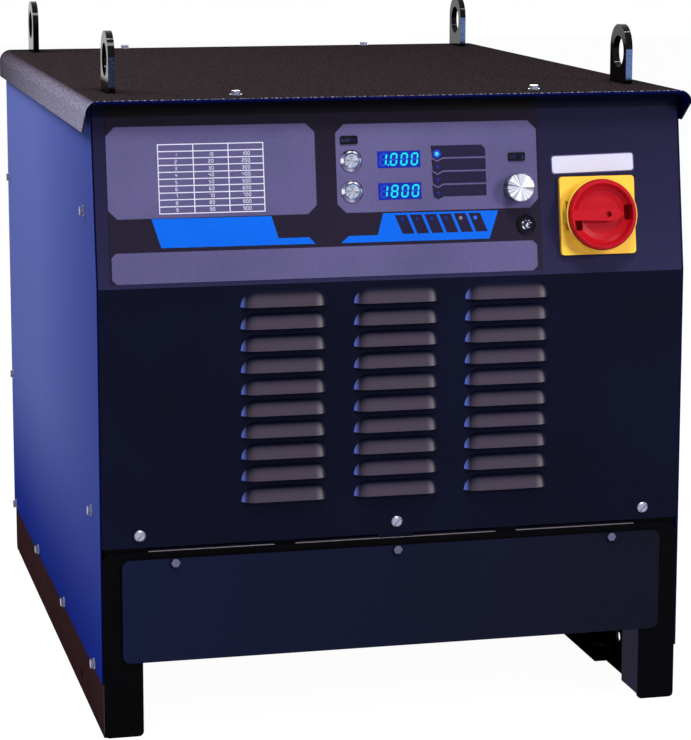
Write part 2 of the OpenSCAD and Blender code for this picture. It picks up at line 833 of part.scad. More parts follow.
module control_socket() color("silver") home() on_bay(0, socket_z) {
    difference() {
        union() {
            linear_extrude(plug_t) round_rect(plug_w, plug_w, plug_t);
            cylinder(r = plug_shell_r, h = plug_shell_h);
            translate([0, 0, -plug_barrel_len]) cylinder(r = plug_barrel_r, h = plug_barrel_len);
        }
        translate([0, 0, plug_t]) cylinder(r = plug_shell_r - plug_wall, h = plug_shell_h);
    }
    for (i = [0 : plug_pins - 1]) rotate(i * 360 / plug_pins) translate([plug_pin_ring, 0, 0])
        cylinder(r = plug_pin_r, h = plug_shell_h - plug_t);
}

// Flap: a rubber sheet whose top strip is clamped by three screws
module flap_sheet() translate([0, (flap_top + flap_bottom) / 2])
    round_rect(flap_w, flap_top - flap_bottom, flap_r);
module flap_strip() color("#1a1c37") home() difference() {
    along_y(-flap_t, flap_t) intersection() {
        flap_sheet();
        translate([-flap_w / 2, flap_hinge_z]) square([flap_w, flap_strip_h]);
    }
    for (x = [-1, 0, 1]) on_front(x * flap_screw_x, flap_screw_z) translate([0, 0, flap_t])
        hole(flap_screw_r + fit, flap_t + over);
}
module flap() color("#1a1c37") home() along_y(-flap_t - flap_gap, flap_t) intersection() {
    flap_sheet();
    translate([-flap_w / 2, flap_bottom]) square([flap_w, flap_hinge_z - flap_gap - flap_bottom]);
}

// Fasteners
module lid_screws() color("silver") home() for (x = [-1, 1], y = [lid_front_screw_y, lid_rear_screw_y])
    translate([x * lid_screw_x, y, body_h]) hex_screw(screw_len);
module front_panel_screws() color("silver") home() for (x = [-1, 0, 1])
    on_front(x * panel_screw_x, panel_screw_z) slotted_screw(screw_len);
module side_screws() for (p = side_places) on_left(p[0], p[1]) hex_screw(screw_len);
module left_side_screws() color("silver") home() side_screws();
module right_side_screws() color("silver") home() mirror([1, 0, 0]) side_screws();
module flap_screws() color("silver") home() for (x = [-1, 0, 1]) on_front(x * flap_screw_x, flap_screw_z)
    translate([0, 0, flap_t]) {
        cylinder(r = flap_hex_r, h = flap_hex_h, $fn = hex_sides);
        translate([0, 0, -flap_t - screw_len]) cylinder(r = flap_screw_r, h = flap_t + screw_len);
    }
module rear_panel_screws() color("silver") home() {
    for (x = [-1, 1]) on_rear(x * panel_screw_x, panel_screw_z) slotted_screw(screw_len);
    on_rear(0, fan_z) guard_ears() translate([0, 0, guard_ear_t]) slotted_screw(guard_ear_t + sheet);
}

// Fan guard: wire rings pressed into four spokes, with a flat hub and four flat ears
guard_ring_z = guard_wire * guard_nest_share + guard_lift;
module ring(r, z) translate([0, 0, z]) rotate_extrude() translate([r, 0]) circle(guard_wire / 2);
module fan_guard() color("silver") home() on_rear(0, fan_z) difference() {
    union() {
        for (i = [1 : guard_rings])
            ring(i / guard_rings * (fan_hole_d / 2 + guard_rim - guard_wire), guard_ring_z);
        for (a = [0 : 3]) rotate(45 + 90 * a) translate([guard_hub_r / 2, 0, guard_wire / 2 + guard_lift])
            rotate([0, 90, 0]) cylinder(r = guard_wire / 2, h = fan_hole_d / 2 + guard_rim - guard_hub_r / 2);
        translate([0, 0, guard_lift + guard_wire / 4]) cylinder(r = guard_hub_r, h = guard_hub_t);
        guard_ears() cylinder(r = guard_ear_r + guard_wire / 2, h = guard_ear_t);
    }
    guard_ears() translate([0, 0, -over]) cylinder(r = screw_hole_r, h = 2 * guard_wire + over);
}
module cable_gland() color("#202024") home() on_rear(gland_x, gland_z) difference() {
    union() {
        cylinder(r = gland_hex_r, h = gland_hex_h, $fn = hex_sides);
        cylinder(r = gland_nut_r, h = gland_out - gland_hex_h);
        translate([0, 0, gland_out - gland_hex_h])
            cylinder(r1 = gland_nut_r, r2 = gland_tip_r, h = gland_hex_h);
        translate([0, 0, -gland_thread_len]) cylinder(r = gland_thread_r, h = gland_thread_len);
        translate([0, 0, -sheet - gland_inner_nut_h])
            cylinder(r = gland_hex_r, h = gland_inner_nut_h, $fn = hex_sides);
    }
    translate([0, 0, gland_out]) hole(gland_bore_d / 2, gland_out + gland_thread_len + over);
}

// Control panel pieces
module control_overlay() color("#2a2638") home() difference() {
    on_slope(0, overlay_bottom) translate([-overlay_left, 0, 0])
        cube([overlay_left + overlay_right, overlay_h, film]);
    control_cuts();
}
module display(s) on_slope(display_x, s) translate([0, 0, -display_deep])
    linear_extrude(display_deep + film + display_rise) square([display_w, display_h], center = true);
module display_upper() color("#1040d0") home() display(display_upper_s);
module display_lower() color("#1040d0") home() display(display_lower_s);
module button_bezels() color("silver") home() for (s = [button_upper_s, button_lower_s]) on_slope(button_x, s)
    difference() {
        union() {
            translate([0, 0, film]) cylinder(r = bezel_d / 2, h = bezel_h / 2);
            translate([0, 0, film + bezel_h / 2])
                cylinder(r1 = bezel_d / 2, r2 = button_barrel_r, h = bezel_h / 2);
            translate([0, 0, film - button_barrel_len]) cylinder(r = button_barrel_r, h = button_barrel_len);
        }
        translate([0, 0, film + bezel_h]) hole(button_d / 2 + fit, bezel_h + button_len + button_stroke_room);
    }
module button(s) on_slope(button_x, s) translate([0, 0, film + bezel_h + button_rise - button_len]) {
    cylinder(r = button_d / 2, h = button_len - button_rise);
    translate([0, 0, button_len - button_rise])
        cylinder(r1 = button_d / 2, r2 = button_d / 2 - button_rise, h = button_rise);
}
module button_upper() color("silver") home() button(button_upper_s);
module button_lower() color("silver") home() button(button_lower_s);

// Rocker switch: a frame with a box behind it, and a rocker on a pivot that runs up the slope
rocker_open_w = rocker_box_w - rocker_wall;
rocker_open_h = rocker_box_h - 2 * fit;
module rocker_frame() difference() {
    union() {
        translate([0, 0, film]) linear_extrude(rocker_frame_h) round_rect(rocker_w, rocker_h, rocker_wall);
        translate([0, 0, -rocker_deep]) linear_extrude(rocker_deep + film)
            square([rocker_box_w, rocker_box_h], center = true);
    }
    translate([0, 0, rocker_wall - rocker_deep]) linear_extrude(2 * rocker_deep)
        square([rocker_open_w, rocker_open_h - rocker_wall], center = true);
}
module rocker_frames() color("#101014") home() for (p = [rocker_left_place, rocker_right_place])
    on_slope(p[0], p[1]) rocker_frame();
rocker_half = rocker_open_w / 2 - 4 * fit;
module rocker(place, side) on_slope(place[0], place[1]) translate([0, 0, -rocker_pivot_deep])
    rotate([0, side * rocker_tilt, 0]) rotate([90, 0, 0])
        linear_extrude(rocker_open_h - rocker_wall - 2 * fit, center = true) polygon([
            [-rocker_half, 0], [-rocker_half / 2, -rocker_foot / 2], [0, -rocker_foot],
            [rocker_half / 2, -rocker_foot / 2], [rocker_half, 0],
            [rocker_half, rocker_pivot_deep + rocker_rise + rocker_wall / 2],
            [0, rocker_pivot_deep + rocker_rise - rocker_wall / 2],
            [-rocker_half, rocker_pivot_deep + rocker_rise + rocker_wall / 2]]);
module rocker_left() color("#101014") home() rocker(rocker_left_place, 1);
module rocker_right() color("#101014") home() rocker(rocker_right_place, -1);

// Encoder: a body with a bushing, a sprung plunger, a shaft and a knurled knob
plunger_top = -encoder_shaft_deep;
plunger_room = plunger_t + 2 * press_travel;
module encoder_body() color("#404046") home() on_slope(knob_place[0], knob_place[1]) difference() {
    union() {
        translate([-encoder_w / 2, -encoder_w / 2, -encoder_deep])
            cube([encoder_w, encoder_w, encoder_deep - sheet]);
        translate([0, 0, -encoder_deep]) cylinder(r = bushing_r, h = encoder_deep + bushing_out);
    }
    translate([0, 0, bushing_out]) hole(encoder_shaft_r + run_fit, bushing_out + encoder_shaft_deep);
    translate([0, 0, plunger_top - plunger_room])
        cylinder(r = plunger_r + fit, h = plunger_room + press_travel);
}
module encoder_plunger() color("white") home() on_slope(knob_place[0], knob_place[1])
    translate([0, 0, plunger_top - plunger_t]) cylinder(r = plunger_r, h = plunger_t);
module encoder_shaft() color("silver") home() on_slope(knob_place[0], knob_place[1])
    translate([0, 0, plunger_top])
        cylinder(r = encoder_shaft_r, h = encoder_shaft_deep + knob_top - knob_wall);
module encoder_knob() color("silver") home() on_slope(knob_place[0], knob_place[1]) difference() {
    union() {
        translate([0, 0, knob_skirt]) cylinder(r = knob_d / 2, h = knob_top - knob_skirt - knob_bevel);
        translate([0, 0, knob_top - knob_bevel])
            cylinder(r1 = knob_d / 2, r2 = knob_d / 2 - knob_bevel, h = knob_bevel);
    }
    translate([0, 0, knob_skirt - over]) cylinder(r = knob_recess_r, h = knob_recess_h + over);
    translate([0, 0, knob_top - knob_wall]) mirror([0, 0, 1])
        cylinder(r = encoder_shaft_r + run_fit, h = knob_top);
    for (i = [0 : knob_flutes - 1]) rotate(i * 360 / knob_flutes)
        translate([knob_d / 2, 0, knob_skirt - over])
            cylinder(r = flute_r, h = knob_top - knob_skirt - 2 * knob_bevel);
}

// Key lock: a body with a ring and a turning barrel with a round key groove
module lock_body() color("#141416") home() on_slope(lock_place[0], lock_place[1]) difference() {
    union() {
        translate([0, 0, film]) cylinder(r = lock_d / 2, h = lock_h / 2);
        translate([0, 0, film + lock_h / 2])
            cylinder(r1 = lock_d / 2, r2 = lock_tube_r - fit, h = lock_h / 2);
        translate([0, 0, film - lock_len]) cylinder(r = lock_tube_r, h = lock_len);
    }
    translate([0, 0, film + lock_h]) hole(lock_barrel_d / 2 + fit, lock_h + lock_len - lock_floor);
}
module lock_barrel() color("silver") home() on_slope(lock_place[0], lock_place[1]) difference() {
    translate([0, 0, film - lock_len + lock_floor])
        cylinder(r = lock_barrel_d / 2, h = lock_len - lock_floor + lock_h);
    translate([0, 0, film + lock_h - key_groove_deep]) difference() {
        cylinder(r = key_groove_r, h = key_groove_deep + over);
        translate([0, 0, -over]) cylinder(r = key_groove_r - key_groove_w, h = key_groove_deep + 3 * over);
    }
    translate([key_groove_r, 0, film + lock_h - key_groove_deep / 2 + over / 2])
        cube([lock_barrel_d / 3, key_groove_w, key_groove_deep + over], center = true);
}
module indicator_lights() color("#3060c0") home() {
    for (i = [0 : menu_lights - 1]) on_slope(menu_light_x, menu_light_top_s - i * menu_light_step)
        translate([0, 0, film]) cylinder(r = light_r, h = light_h);
    for (i = [0 : status_lights - 1]) on_slope(status_light_x + i * status_light_step, status_light_s)
        translate([0, 0, film]) cylinder(r = light_r, h = light_h);
}

// Main switch: plate with a collar, bowl-shaped handle with a tapered grip, shaft and switch block
collar_inner_r = handle_r + collar_gap;
collar_outer_r = collar_inner_r + collar_wall;
module switch_plate() color("#ffc836") home() on_slope(switch_x, switch_s) difference() {
    union() {
        linear_extrude(switch_plate_t) round_rect(switch_plate_w, switch_plate_w, switch_plate_r);
        cylinder(r1 = collar_outer_r, r2 = collar_outer_r - collar_taper, h = collar_top);
    }
    translate([0, 0, switch_plate_t]) {
        cylinder(r = collar_inner_r, h = collar_top);
        hole(switch_shaft_d / 2 + fit, switch_plate_t + over);
    }
    for (m = [0, 1]) mirror([0, m, 0]) rotate(180 - collar_slot_a)
        translate([collar_inner_r, 0, (switch_plate_t + collar_top) / 2])
            cube([4 * collar_wall, collar_slot_w, collar_slot_h], center = true);
}
grip_top = handle_top - grip_drop;
function grip_edge(t, side) =
    [grip_mid_x + (grip_tip_x - grip_mid_x) * t, side * grip_mid_w / 2 * (1 - t * t)];
module grip_outline() polygon(concat([[-handle_face_r, -grip_left_w / 2]],
    [for (i = [0 : grip_steps]) grip_edge(i / grip_steps, -1)],
    [for (i = [1 : grip_steps]) grip_edge(1 - i / grip_steps, 1)],
    [[-handle_face_r, grip_left_w / 2]]));
module padlock_cut(place, size) translate([place[0], place[1], handle_bottom + padlock_floor])
    linear_extrude(handle_top) round_rect(size[0], size[1], padlock_corner_r);
module switch_handle() color("#d01828") home() on_slope(switch_x, switch_s) difference() {
    union() {
        rotate_extrude() polygon(concat([[0, handle_bottom], [handle_r, handle_bottom],
            [handle_r, handle_top - handle_bevel], [handle_face_r, handle_top], [bowl_r, handle_top]],
            [for (i = [0 : 2]) [bowl_r * bowl_r_shares[i], handle_top - handle_dish * bowl_deep_shares[i]]],
            [[0, handle_top - handle_dish]]));
        translate([0, 0, handle_bottom]) linear_extrude(grip_top - handle_bottom) grip_outline();
    }
    translate([0, 0, handle_bottom - over])
        cylinder(r = switch_shaft_d / 2 + run_fit, h = handle_dish + over);
    translate([padlock_x, 0, grip_top]) hole(padlock_r, handle_dish / 2);
    padlock_cut(padlock_right, padlock_right_size);
    padlock_cut(padlock_left, padlock_left_size);
}
module switch_shaft() color("silver") home() on_slope(switch_x, switch_s)
    translate([0, 0, -switch_shaft_deep])
        cylinder(r = switch_shaft_d / 2, h = switch_shaft_deep + handle_bottom + handle_dish - handle_gap);
module switch_block() color("#303034") home() on_slope(switch_x, switch_s) difference() {
    translate([0, 0, -sheet - switch_block_deep]) linear_extrude(switch_block_deep)
        round_rect(switch_block_w, switch_block_w, switch_plate_r);
    hole(switch_shaft_d / 2 + run_fit, switch_shaft_deep + handle_gap);
}

// Transformer: a three-limb core, three windings, and angle clamps that stand on the deck
module limb_box(x) translate([x - limb_w / 2, trafo_y - core_d / 2, core_z]) cube([limb_w, core_d, core_h]);
module transformer_core() color("#5a5a60") home() {
    for (i = [-1 : 1]) limb_box(i * limb_pitch);
    for (z = [core_z, core_z + core_h - yoke_h]) translate([-core_w / 2, trafo_y - core_d / 2, z])
        cube([core_w, core_d, yoke_h]);
}
module winding(w, d, t, h) linear_extrude(h) difference() {
    round_rect(w + 2 * t, d + 2 * t, t / 2);
    square([w, d], center = true);
}
module transformer_windings() color("#a86a3c") home() for (i = [-1 : 1])
    translate([i * limb_pitch, trafo_y, core_z + yoke_h + (window_h - winding_h) / 2])
        winding(limb_w + 2 * winding_gap, core_d + 2 * winding_gap, winding_t, winding_h);
module core_clamps() color("#404046") home() for (m = [0, 1])
    translate([0, trafo_y, 0]) mirror([0, m, 0]) translate([-core_w / 2, core_d / 2, 0]) {
        translate([0, 0, deck_top]) cube([core_w, clamp_t, core_lift + yoke_h - clamp_margin]);
        translate([0, 0, deck_top]) cube([core_w, clamp_foot, clamp_foot_t]);
        translate([0, 0, core_z + core_h - yoke_h + clamp_margin])
            cube([core_w, clamp_t, yoke_h - clamp_margin]);
    }

// Choke: a shell core with one winding on its middle limb
choke_window_w = (choke_w - choke_limb) / 2 - choke_limb / 2;
choke_window_h = choke_h - 2 * choke_yoke;
module choke_core() color("#5a5a60") home() translate([choke_x, choke_y, deck_top]) difference() {
    translate([-choke_w / 2, -choke_d / 2, 0]) cube([choke_w, choke_d, choke_h]);
    for (m = [0, 1]) mirror([m, 0, 0]) translate([choke_limb / 2, -choke_d / 2 - over, choke_yoke])
        cube([choke_window_w, choke_d + 2 * over, choke_window_h]);
}
module choke_winding() color("#a86a3c") home()
    translate([choke_x, choke_y, deck_top + choke_yoke + winding_gap])
        winding(choke_limb + 2 * winding_gap, choke_d + 2 * winding_gap,
            choke_window_w - 2 * winding_gap, choke_window_h - 2 * winding_gap);

// Rectifier: a finned heat sink with thyristor modules, and bus bars to the sockets
fin_count = floor((sink_h - fin_t) / fin_pitch) + 1;
module heat_sink() color("silver") home() translate([sink_x - sink_t / 2, sink_y, deck_top]) {
    cube([sink_t, sink_len, sink_h]);
    for (i = [0 : fin_count - 1]) translate([-fin_len, 0, i * fin_pitch]) cube([fin_len, sink_len, fin_t]);
}
module thyristors() color("#202024") home() for (i = [0 : thyristors_n - 1])
    translate([sink_x + sink_t / 2, sink_y + (sink_len - thyristor_len) / 2,
        deck_top + fin_t + i * thyristor_step]) cube([thyristor_h, thyristor_len, thyristor_w]);
module bus_bar(end_y) difference() {
    translate([0, 0, socket_z - bus_h / 2]) linear_extrude(bus_h) {
        translate([socket_x - bus_stud_over, bus_y])
            square([sink_x + bus_t / 2 - socket_x + bus_stud_over, bus_t]);
        translate([sink_x - bus_t / 2, bus_y]) square([bus_t, end_y - bus_y]);
    }
    translate([socket_x, bus_y, socket_z]) rotate([90, 0, 0]) hole(socket_stud_r + fit, bus_t + over);
}
module bus_bars() color("#c07840") home() {
    bus_bar(sink_y);
    mirror([1, 0, 0]) {
        bus_bar(choke_y + bus_t);
        translate([-choke_x + choke_w / 2, choke_y, socket_z - bus_h / 2])
            cube([sink_x + bus_t / 2 + choke_x - choke_w / 2, bus_t, bus_h]);
    }
}

// Fan: shroud on the rear panel, motor on three arms, blade with its shaft
module fan_axis(y) translate([0, y, fan_z]) rotate([90, 0, 0]) children();
module fan_shroud() color("#303034") home() fan_axis(rear_y) difference() {
    cylinder(r = shroud_r, h = shroud_len);
    translate([0, 0, -over]) cylinder(r = shroud_r - shroud_wall, h = shroud_len + 2 * over);
}
module fan_motor() color("#505058") home() fan_axis(motor_back_y) difference() {
    union() {
        cylinder(r = motor_r, h = motor_len);
        for (i = [0 : motor_arms - 1]) rotate(90 + i * 360 / motor_arms)
            translate([0, -motor_arm_w / 2, 0]) cube([shroud_r, motor_arm_w, motor_arm_t]);
    }
    translate([0, 0, -over]) cylinder(r = motor_shaft_r + run_fit, h = motor_len / 2 + over);
}
module blade() translate([0, 0, blade_hub_h / 2]) rotate([blade_pitch_a, 0, 0])
    translate([blade_hub_r / 2, -blade_chord / 2, -blade_t / 2]) cube([fan_d, blade_chord, blade_t]);
module fan_blade() color("#202024") home() fan_axis(blade_y) {
    cylinder(r = blade_hub_r, h = blade_hub_h);
    intersection() {
        union() for (i = [0 : blade_count - 1]) rotate(i * 360 / blade_count) blade();
        translate([0, 0, -blade_chord]) cylinder(r = fan_d / 2, h = 3 * blade_chord);
    }
    cylinder(r = motor_shaft_r, h = blade_y - motor_back_y + motor_len / 3);
}

// Control board on four standoffs behind the control panel
board_w = board_right - board_left;
board_h = board_top - board_bottom;
module control_board() color("#1e5a34") home() on_slope(board_left, board_bottom) {
    translate([0, 0, -board_deep - board_t]) cube([board_w, board_h, board_t]);
    for (x = [standoff_inset, board_w - standoff_inset], y = [standoff_inset, board_h - standoff_inset])
        translate([x, y, -board_deep]) cylinder(r = standoff_r, h = board_deep - sheet);
    for (i = [0 : chips - 1])
        translate([chip_inset + i * chip_pitch, chip_up, -board_deep - board_t - chip_h])
            cube([chip_w, chip_l, chip_h]);
}

rail_left();
rail_right();
base_front();
base_rear();
deck();
front_panel();
left_side_panel();
right_side_panel();
rear_panel();
lid();
lifting_bar_front_left();
lifting_bar_front_right();
lifting_bar_rear_left();
lifting_bar_rear_right();
connection_panel();
output_sockets();
control_socket();
flap_strip();
flap();
lid_screws();
front_panel_screws();
left_side_screws();
right_side_screws();
flap_screws();
rear_panel_screws();
fan_guard();
cable_gland();
control_overlay();
display_upper();
display_lower();
button_bezels();
button_upper();
button_lower();
rocker_frames();
rocker_left();
rocker_right();
encoder_body();
encoder_plunger();
encoder_shaft();
encoder_knob();
lock_body();
lock_barrel();
indicator_lights();
switch_plate();
switch_handle();
switch_shaft();
switch_block();
transformer_core();
transformer_windings();
core_clamps();
choke_core();
choke_winding();
heat_sink();
thyristors();
bus_bars();
fan_shroud();
fan_motor();
fan_blade();
control_board();
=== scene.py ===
"""Looks of a stud welding power source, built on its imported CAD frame. Metres, +Z up, front towards -Y."""

import json
import math

import bmesh
import bpy
from mathutils import Matrix, Vector


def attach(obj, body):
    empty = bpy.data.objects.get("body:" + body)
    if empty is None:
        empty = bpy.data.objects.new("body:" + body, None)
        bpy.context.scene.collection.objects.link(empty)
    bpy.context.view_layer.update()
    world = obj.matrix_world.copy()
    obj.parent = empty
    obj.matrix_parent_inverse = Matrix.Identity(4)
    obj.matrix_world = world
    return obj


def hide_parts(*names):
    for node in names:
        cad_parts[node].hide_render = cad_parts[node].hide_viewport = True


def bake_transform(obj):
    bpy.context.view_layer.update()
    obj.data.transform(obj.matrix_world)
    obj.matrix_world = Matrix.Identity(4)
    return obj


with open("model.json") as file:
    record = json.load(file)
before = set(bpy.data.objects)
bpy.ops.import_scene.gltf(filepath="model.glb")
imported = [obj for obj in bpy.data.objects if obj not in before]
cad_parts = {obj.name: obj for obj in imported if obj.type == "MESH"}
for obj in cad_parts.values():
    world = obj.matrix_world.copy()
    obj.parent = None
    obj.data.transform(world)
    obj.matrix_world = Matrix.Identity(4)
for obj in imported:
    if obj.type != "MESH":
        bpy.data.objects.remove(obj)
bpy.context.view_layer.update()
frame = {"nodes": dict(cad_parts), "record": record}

MM = 0.001

# Control panel: the sloped face starts at the bend and leans back as it rises
MID_Y = 448.809
BEND_Z = 515.0
SLOPE_A = math.atan2(32.0, 206.0)
SLOPE_UP = Vector((0.0, math.sin(SLOPE_A), math.cos(SLOPE_A)))
SLOPE_OUT = Vector((0.0, -math.cos(SLOPE_A), math.sin(SLOPE_A)))
SLOPE_FOOT = Vector((0.0, -MID_Y, BEND_Z))


def on_slope(x, s, proud):
    """A point of the control panel in metres: across, up the slope, and out of the sheet, in mm."""
    return (SLOPE_FOOT + Vector((x, 0.0, 0.0)) + s * SLOPE_UP + proud * SLOPE_OUT) * MM


# Materials


def linear(code):
    """An sRGB hex colour as linear RGBA."""
    parts = [int(code[i:i + 2], 16) / 255 for i in (1, 3, 5)]
    return [p / 12.92 if p <= 0.04045 else ((p + 0.055) / 1.055) ** 2.4 for p in parts] + [1.0]


def per_metre(millimetres):
    """The texture scale whose features are that many millimetres wide."""
    return 1.0 / (millimetres * MM)


def add(tree, kind, sockets=None, stops=(), **settings):
    """Adds a node with its settings and colour stops; a socket takes a value or another node's output."""
    made = tree.nodes.new("ShaderNode" + kind)
    for key, value in settings.items():
        setattr(made, key, value)
    for key, value in (sockets or {}).items():
        if isinstance(value, bpy.types.NodeSocket):
            tree.links.new(value, made.inputs[key])
        else:
            made.inputs[key].default_value = value
    for i, (place, colour) in enumerate(stops):
        if i > 1:
            made.color_ramp.elements.new(place)
        made.color_ramp.elements[i].position = place
        made.color_ramp.elements[i].color = colour
    return made


def finish(name, **constants):
    """A new material with its shader and the object's own coordinates."""
    made = bpy.data.materials.new(name)
    made.use_nodes = True
    tree = made.node_tree
    shader = tree.nodes["Principled BSDF"]
    for key, value in constants.items():
        shader.inputs[key.replace("_", " ")].default_value = value
    where = add(tree, "TexCoord").outputs["Object"]
    return made, tree, shader, where


# Noise values between which a surface goes from dark to light, and from smooth to rough
SHADE_LOW, SHADE_HIGH = 0.34, 0.66
GLOSS_LOW, GLOSS_HIGH = 0.3, 0.7
CLOUD_TIMES = 90


def grain(name, dark, light, grit, rough, bump, film=None, **constants):
    """A coated or moulded surface: two close shades and a bump from a fine noise, by its grit in mm.

    A real grit under about a millimetre is drawn about a millimetre wide, so that it shows. With film, a
    function of the tree and the place, a second colour lies over it by the share it gives."""
    made, tree, shader, where = finish(name, **constants)
    fine = add(tree, "TexNoise", {"Vector": where, "Scale": per_metre(grit), "Detail": 3.0,
                                  "Roughness": 0.6})
    broad = add(tree, "TexNoise", {"Vector": where, "Scale": per_metre(CLOUD_TIMES * grit), "Detail": 2.0})
    mixed = add(tree, "Math", {0: fine.outputs["Fac"], 1: broad.outputs["Fac"]}, operation="ADD")
    half = add(tree, "Math", {0: mixed.outputs[0], 1: 0.5}, operation="MULTIPLY").outputs[0]
    shades = [(SHADE_LOW, linear(dark)), (SHADE_HIGH, linear(light))]
    colour = add(tree, "ValToRGB", {"Fac": half}, shades).outputs["Color"]
    if film:
        share, over = film(tree, where)
        colour = add(tree, "Mix", {0: share, 6: colour, 7: over}, data_type="RGBA").outputs[2]
    tree.links.new(colour, shader.inputs["Base Color"])
    gloss = add(tree, "MapRange", {"Value": half, "From Min": GLOSS_LOW, "From Max": GLOSS_HIGH,
                                   "To Min": rough[0], "To Max": rough[1]})
    tree.links.new(gloss.outputs["Result"], shader.inputs["Roughness"])
    raised = add(tree, "Bump", {"Height": fine.outputs["Fac"], "Strength": bump, "Distance": grit * MM})
    tree.links.new(raised.outputs["Normal"], shader.inputs["Normal"])
    return made


# Places that the painted light and shade follow, and the flap's tint, in metres
PANEL_FRONT = -MID_Y * MM
LOUVRE_OUT = 0.009
LIP_SHADE_Z = 0.703
LEDGE_HALF = 0.288
TAB_X = 0.131
TAB_HALF = 0.012
INWARD_REACH = 0.2
SHEEN_FOOT, SHEEN_FULL = 0.05, 0.32
SHEEN_FRONT, SHEEN_BACK = -0.44, 0.1
FLAP_TINT_HALF = 0.32
# A face whose normal points forward by more than this is a front edge
FRONT_FACING = -0.7


def painted_sheen_and_shade_on_sides(tree, where):
    """A painted pale sheen that grows up the left side panel and to the rear; painted shade keeps front
    edges dark.
    """
    place = add(tree, "SeparateXYZ", {0: where}).outputs
    # Painted sheen, growing up the panel and to the rear, on the left side only
    up = add(tree, "MapRange", {"Value": place["Z"], "From Min": SHEEN_FOOT, "From Max": SHEEN_FULL},
             interpolation_type="SMOOTHSTEP").outputs[0]
    back = add(tree, "MapRange", {"Value": place["Y"], "From Min": SHEEN_FRONT, "From Max": SHEEN_BACK,
                                  "To Min": 0.15, "To Max": 0.31}).outputs[0]
    on_left = add(tree, "Math", {0: place["X"], 1: 0.0}, operation="LESS_THAN").outputs[0]
    share = add(tree, "Math", {0: up, 1: back}, operation="MULTIPLY").outputs[0]
    share = add(tree, "Math", {0: share, 1: on_left}, operation="MULTIPLY").outputs[0]
    # Painted shade: faces looking forward, the front edges, turn near black blue
    normal = add(tree, "NewGeometry").outputs["Normal"]
    forward = add(tree, "SeparateXYZ", {0: normal}).outputs["Y"]
    at_edge = add(tree, "Math", {0: forward, 1: FRONT_FACING}, operation="LESS_THAN").outputs[0]
    share = add(tree, "Math", {0: share, 1: at_edge}, operation="MAXIMUM").outputs[0]
    over = add(tree, "Mix", {0: at_edge, 6: linear("#a2b2ee"), 7: linear("#050932")}, data_type="RGBA")
    return share, over.outputs[2]


def painted_light_on_front(tree, where):
    """Painted sheen on the slope, dimmer towards the lid, with a painted shadow under its lip; painted light
    on the louvres, with a painted glint and painted shade at their right ends and a painted blue highlight
    at their left ends.
    """
    place = add(tree, "SeparateXYZ", {0: where}).outputs
    normal = add(tree, "NewGeometry").outputs["Normal"]
    facing = add(tree, "SeparateXYZ", {0: normal}).outputs
    # Painted sheen on the slope, dimmer up towards the lid
    painted_light_share = add(tree, "MapRange", {"Value": place["Z"], "From Min": BEND_Z * MM, "From Max": LIP_SHADE_Z,
                                     "To Min": 0.17, "To Max": 0.07}).outputs[0]
    leaning = add(tree, "Math", {0: facing["Z"], 1: math.sin(SLOPE_A), 2: 0.04},
                  operation="COMPARE").outputs[0]
    high = add(tree, "Math", {0: place["Z"], 1: BEND_Z * MM}, operation="GREATER_THAN").outputs[0]
    # Painted shadow under the lid's lip: no sheen above this height
    in_lip_shadow = add(tree, "Math", {0: place["Z"], 1: LIP_SHADE_Z}, operation="GREATER_THAN").outputs[0]
    leaning = add(tree, "Math", {0: leaning, 1: high}, operation="MULTIPLY").outputs[0]
    leaning = add(tree, "Math", {0: leaning, 1: in_lip_shadow}, operation="SUBTRACT", use_clamp=True).outputs[0]
    painted_light_share = add(tree, "Math", {0: painted_light_share, 1: leaning}, operation="MULTIPLY").outputs[0]
    # Painted light on the louvres, growing as they stand out; painted shade at their right ends
    raised = add(tree, "MapRange", {"Value": place["Y"], "From Min": PANEL_FRONT - 0.2 * LOUVRE_OUT,
                                    "From Max": PANEL_FRONT - LOUVRE_OUT, "To Max": 0.42},
                 interpolation_type="SMOOTHSTEP").outputs[0]
    shaded_end = add(tree, "MapRange", {"Value": facing["X"], "From Min": 0.3, "From Max": 0.6,
                                      "To Min": 1.0, "To Max": 0.0}).outputs[0]
    raised = add(tree, "Math", {0: raised, 1: shaded_end}, operation="MULTIPLY").outputs[0]
    # Painted blue highlight on the louvres' left ends
    tip = add(tree, "MapRange", {"Value": facing["X"], "From Min": -0.52, "From Max": -0.74,
                                 "To Max": 0.85}).outputs[0]
    share = add(tree, "Math", {0: painted_light_share, 1: raised}, operation="MAXIMUM").outputs[0]
    share = add(tree, "Math", {0: share, 1: tip}, operation="MAXIMUM").outputs[0]
    # Painted glint near the louvres' right ends
    glint_levels = ((0.05, 0.0), (0.32, 0.75), (0.36, 0.75), (0.5, 0.0))
    glint = add(tree, "ValToRGB", {"Fac": facing["X"]}, [(at, [v, v, v, 1.0]) for at, v in glint_levels])
    over = add(tree, "Mix", {0: high, 6: linear("#6c5e6c"), 7: linear("#625a94")},
               data_type="RGBA").outputs[2]
    over = add(tree, "Mix", {0: glint.outputs["Color"], 6: over, 7: linear("#c0b6b6")},
               data_type="RGBA").outputs[2]
    over = add(tree, "Mix", {0: tip, 6: over, 7: linear("#6c8cff")}, data_type="RGBA").outputs[2]
    return share, over


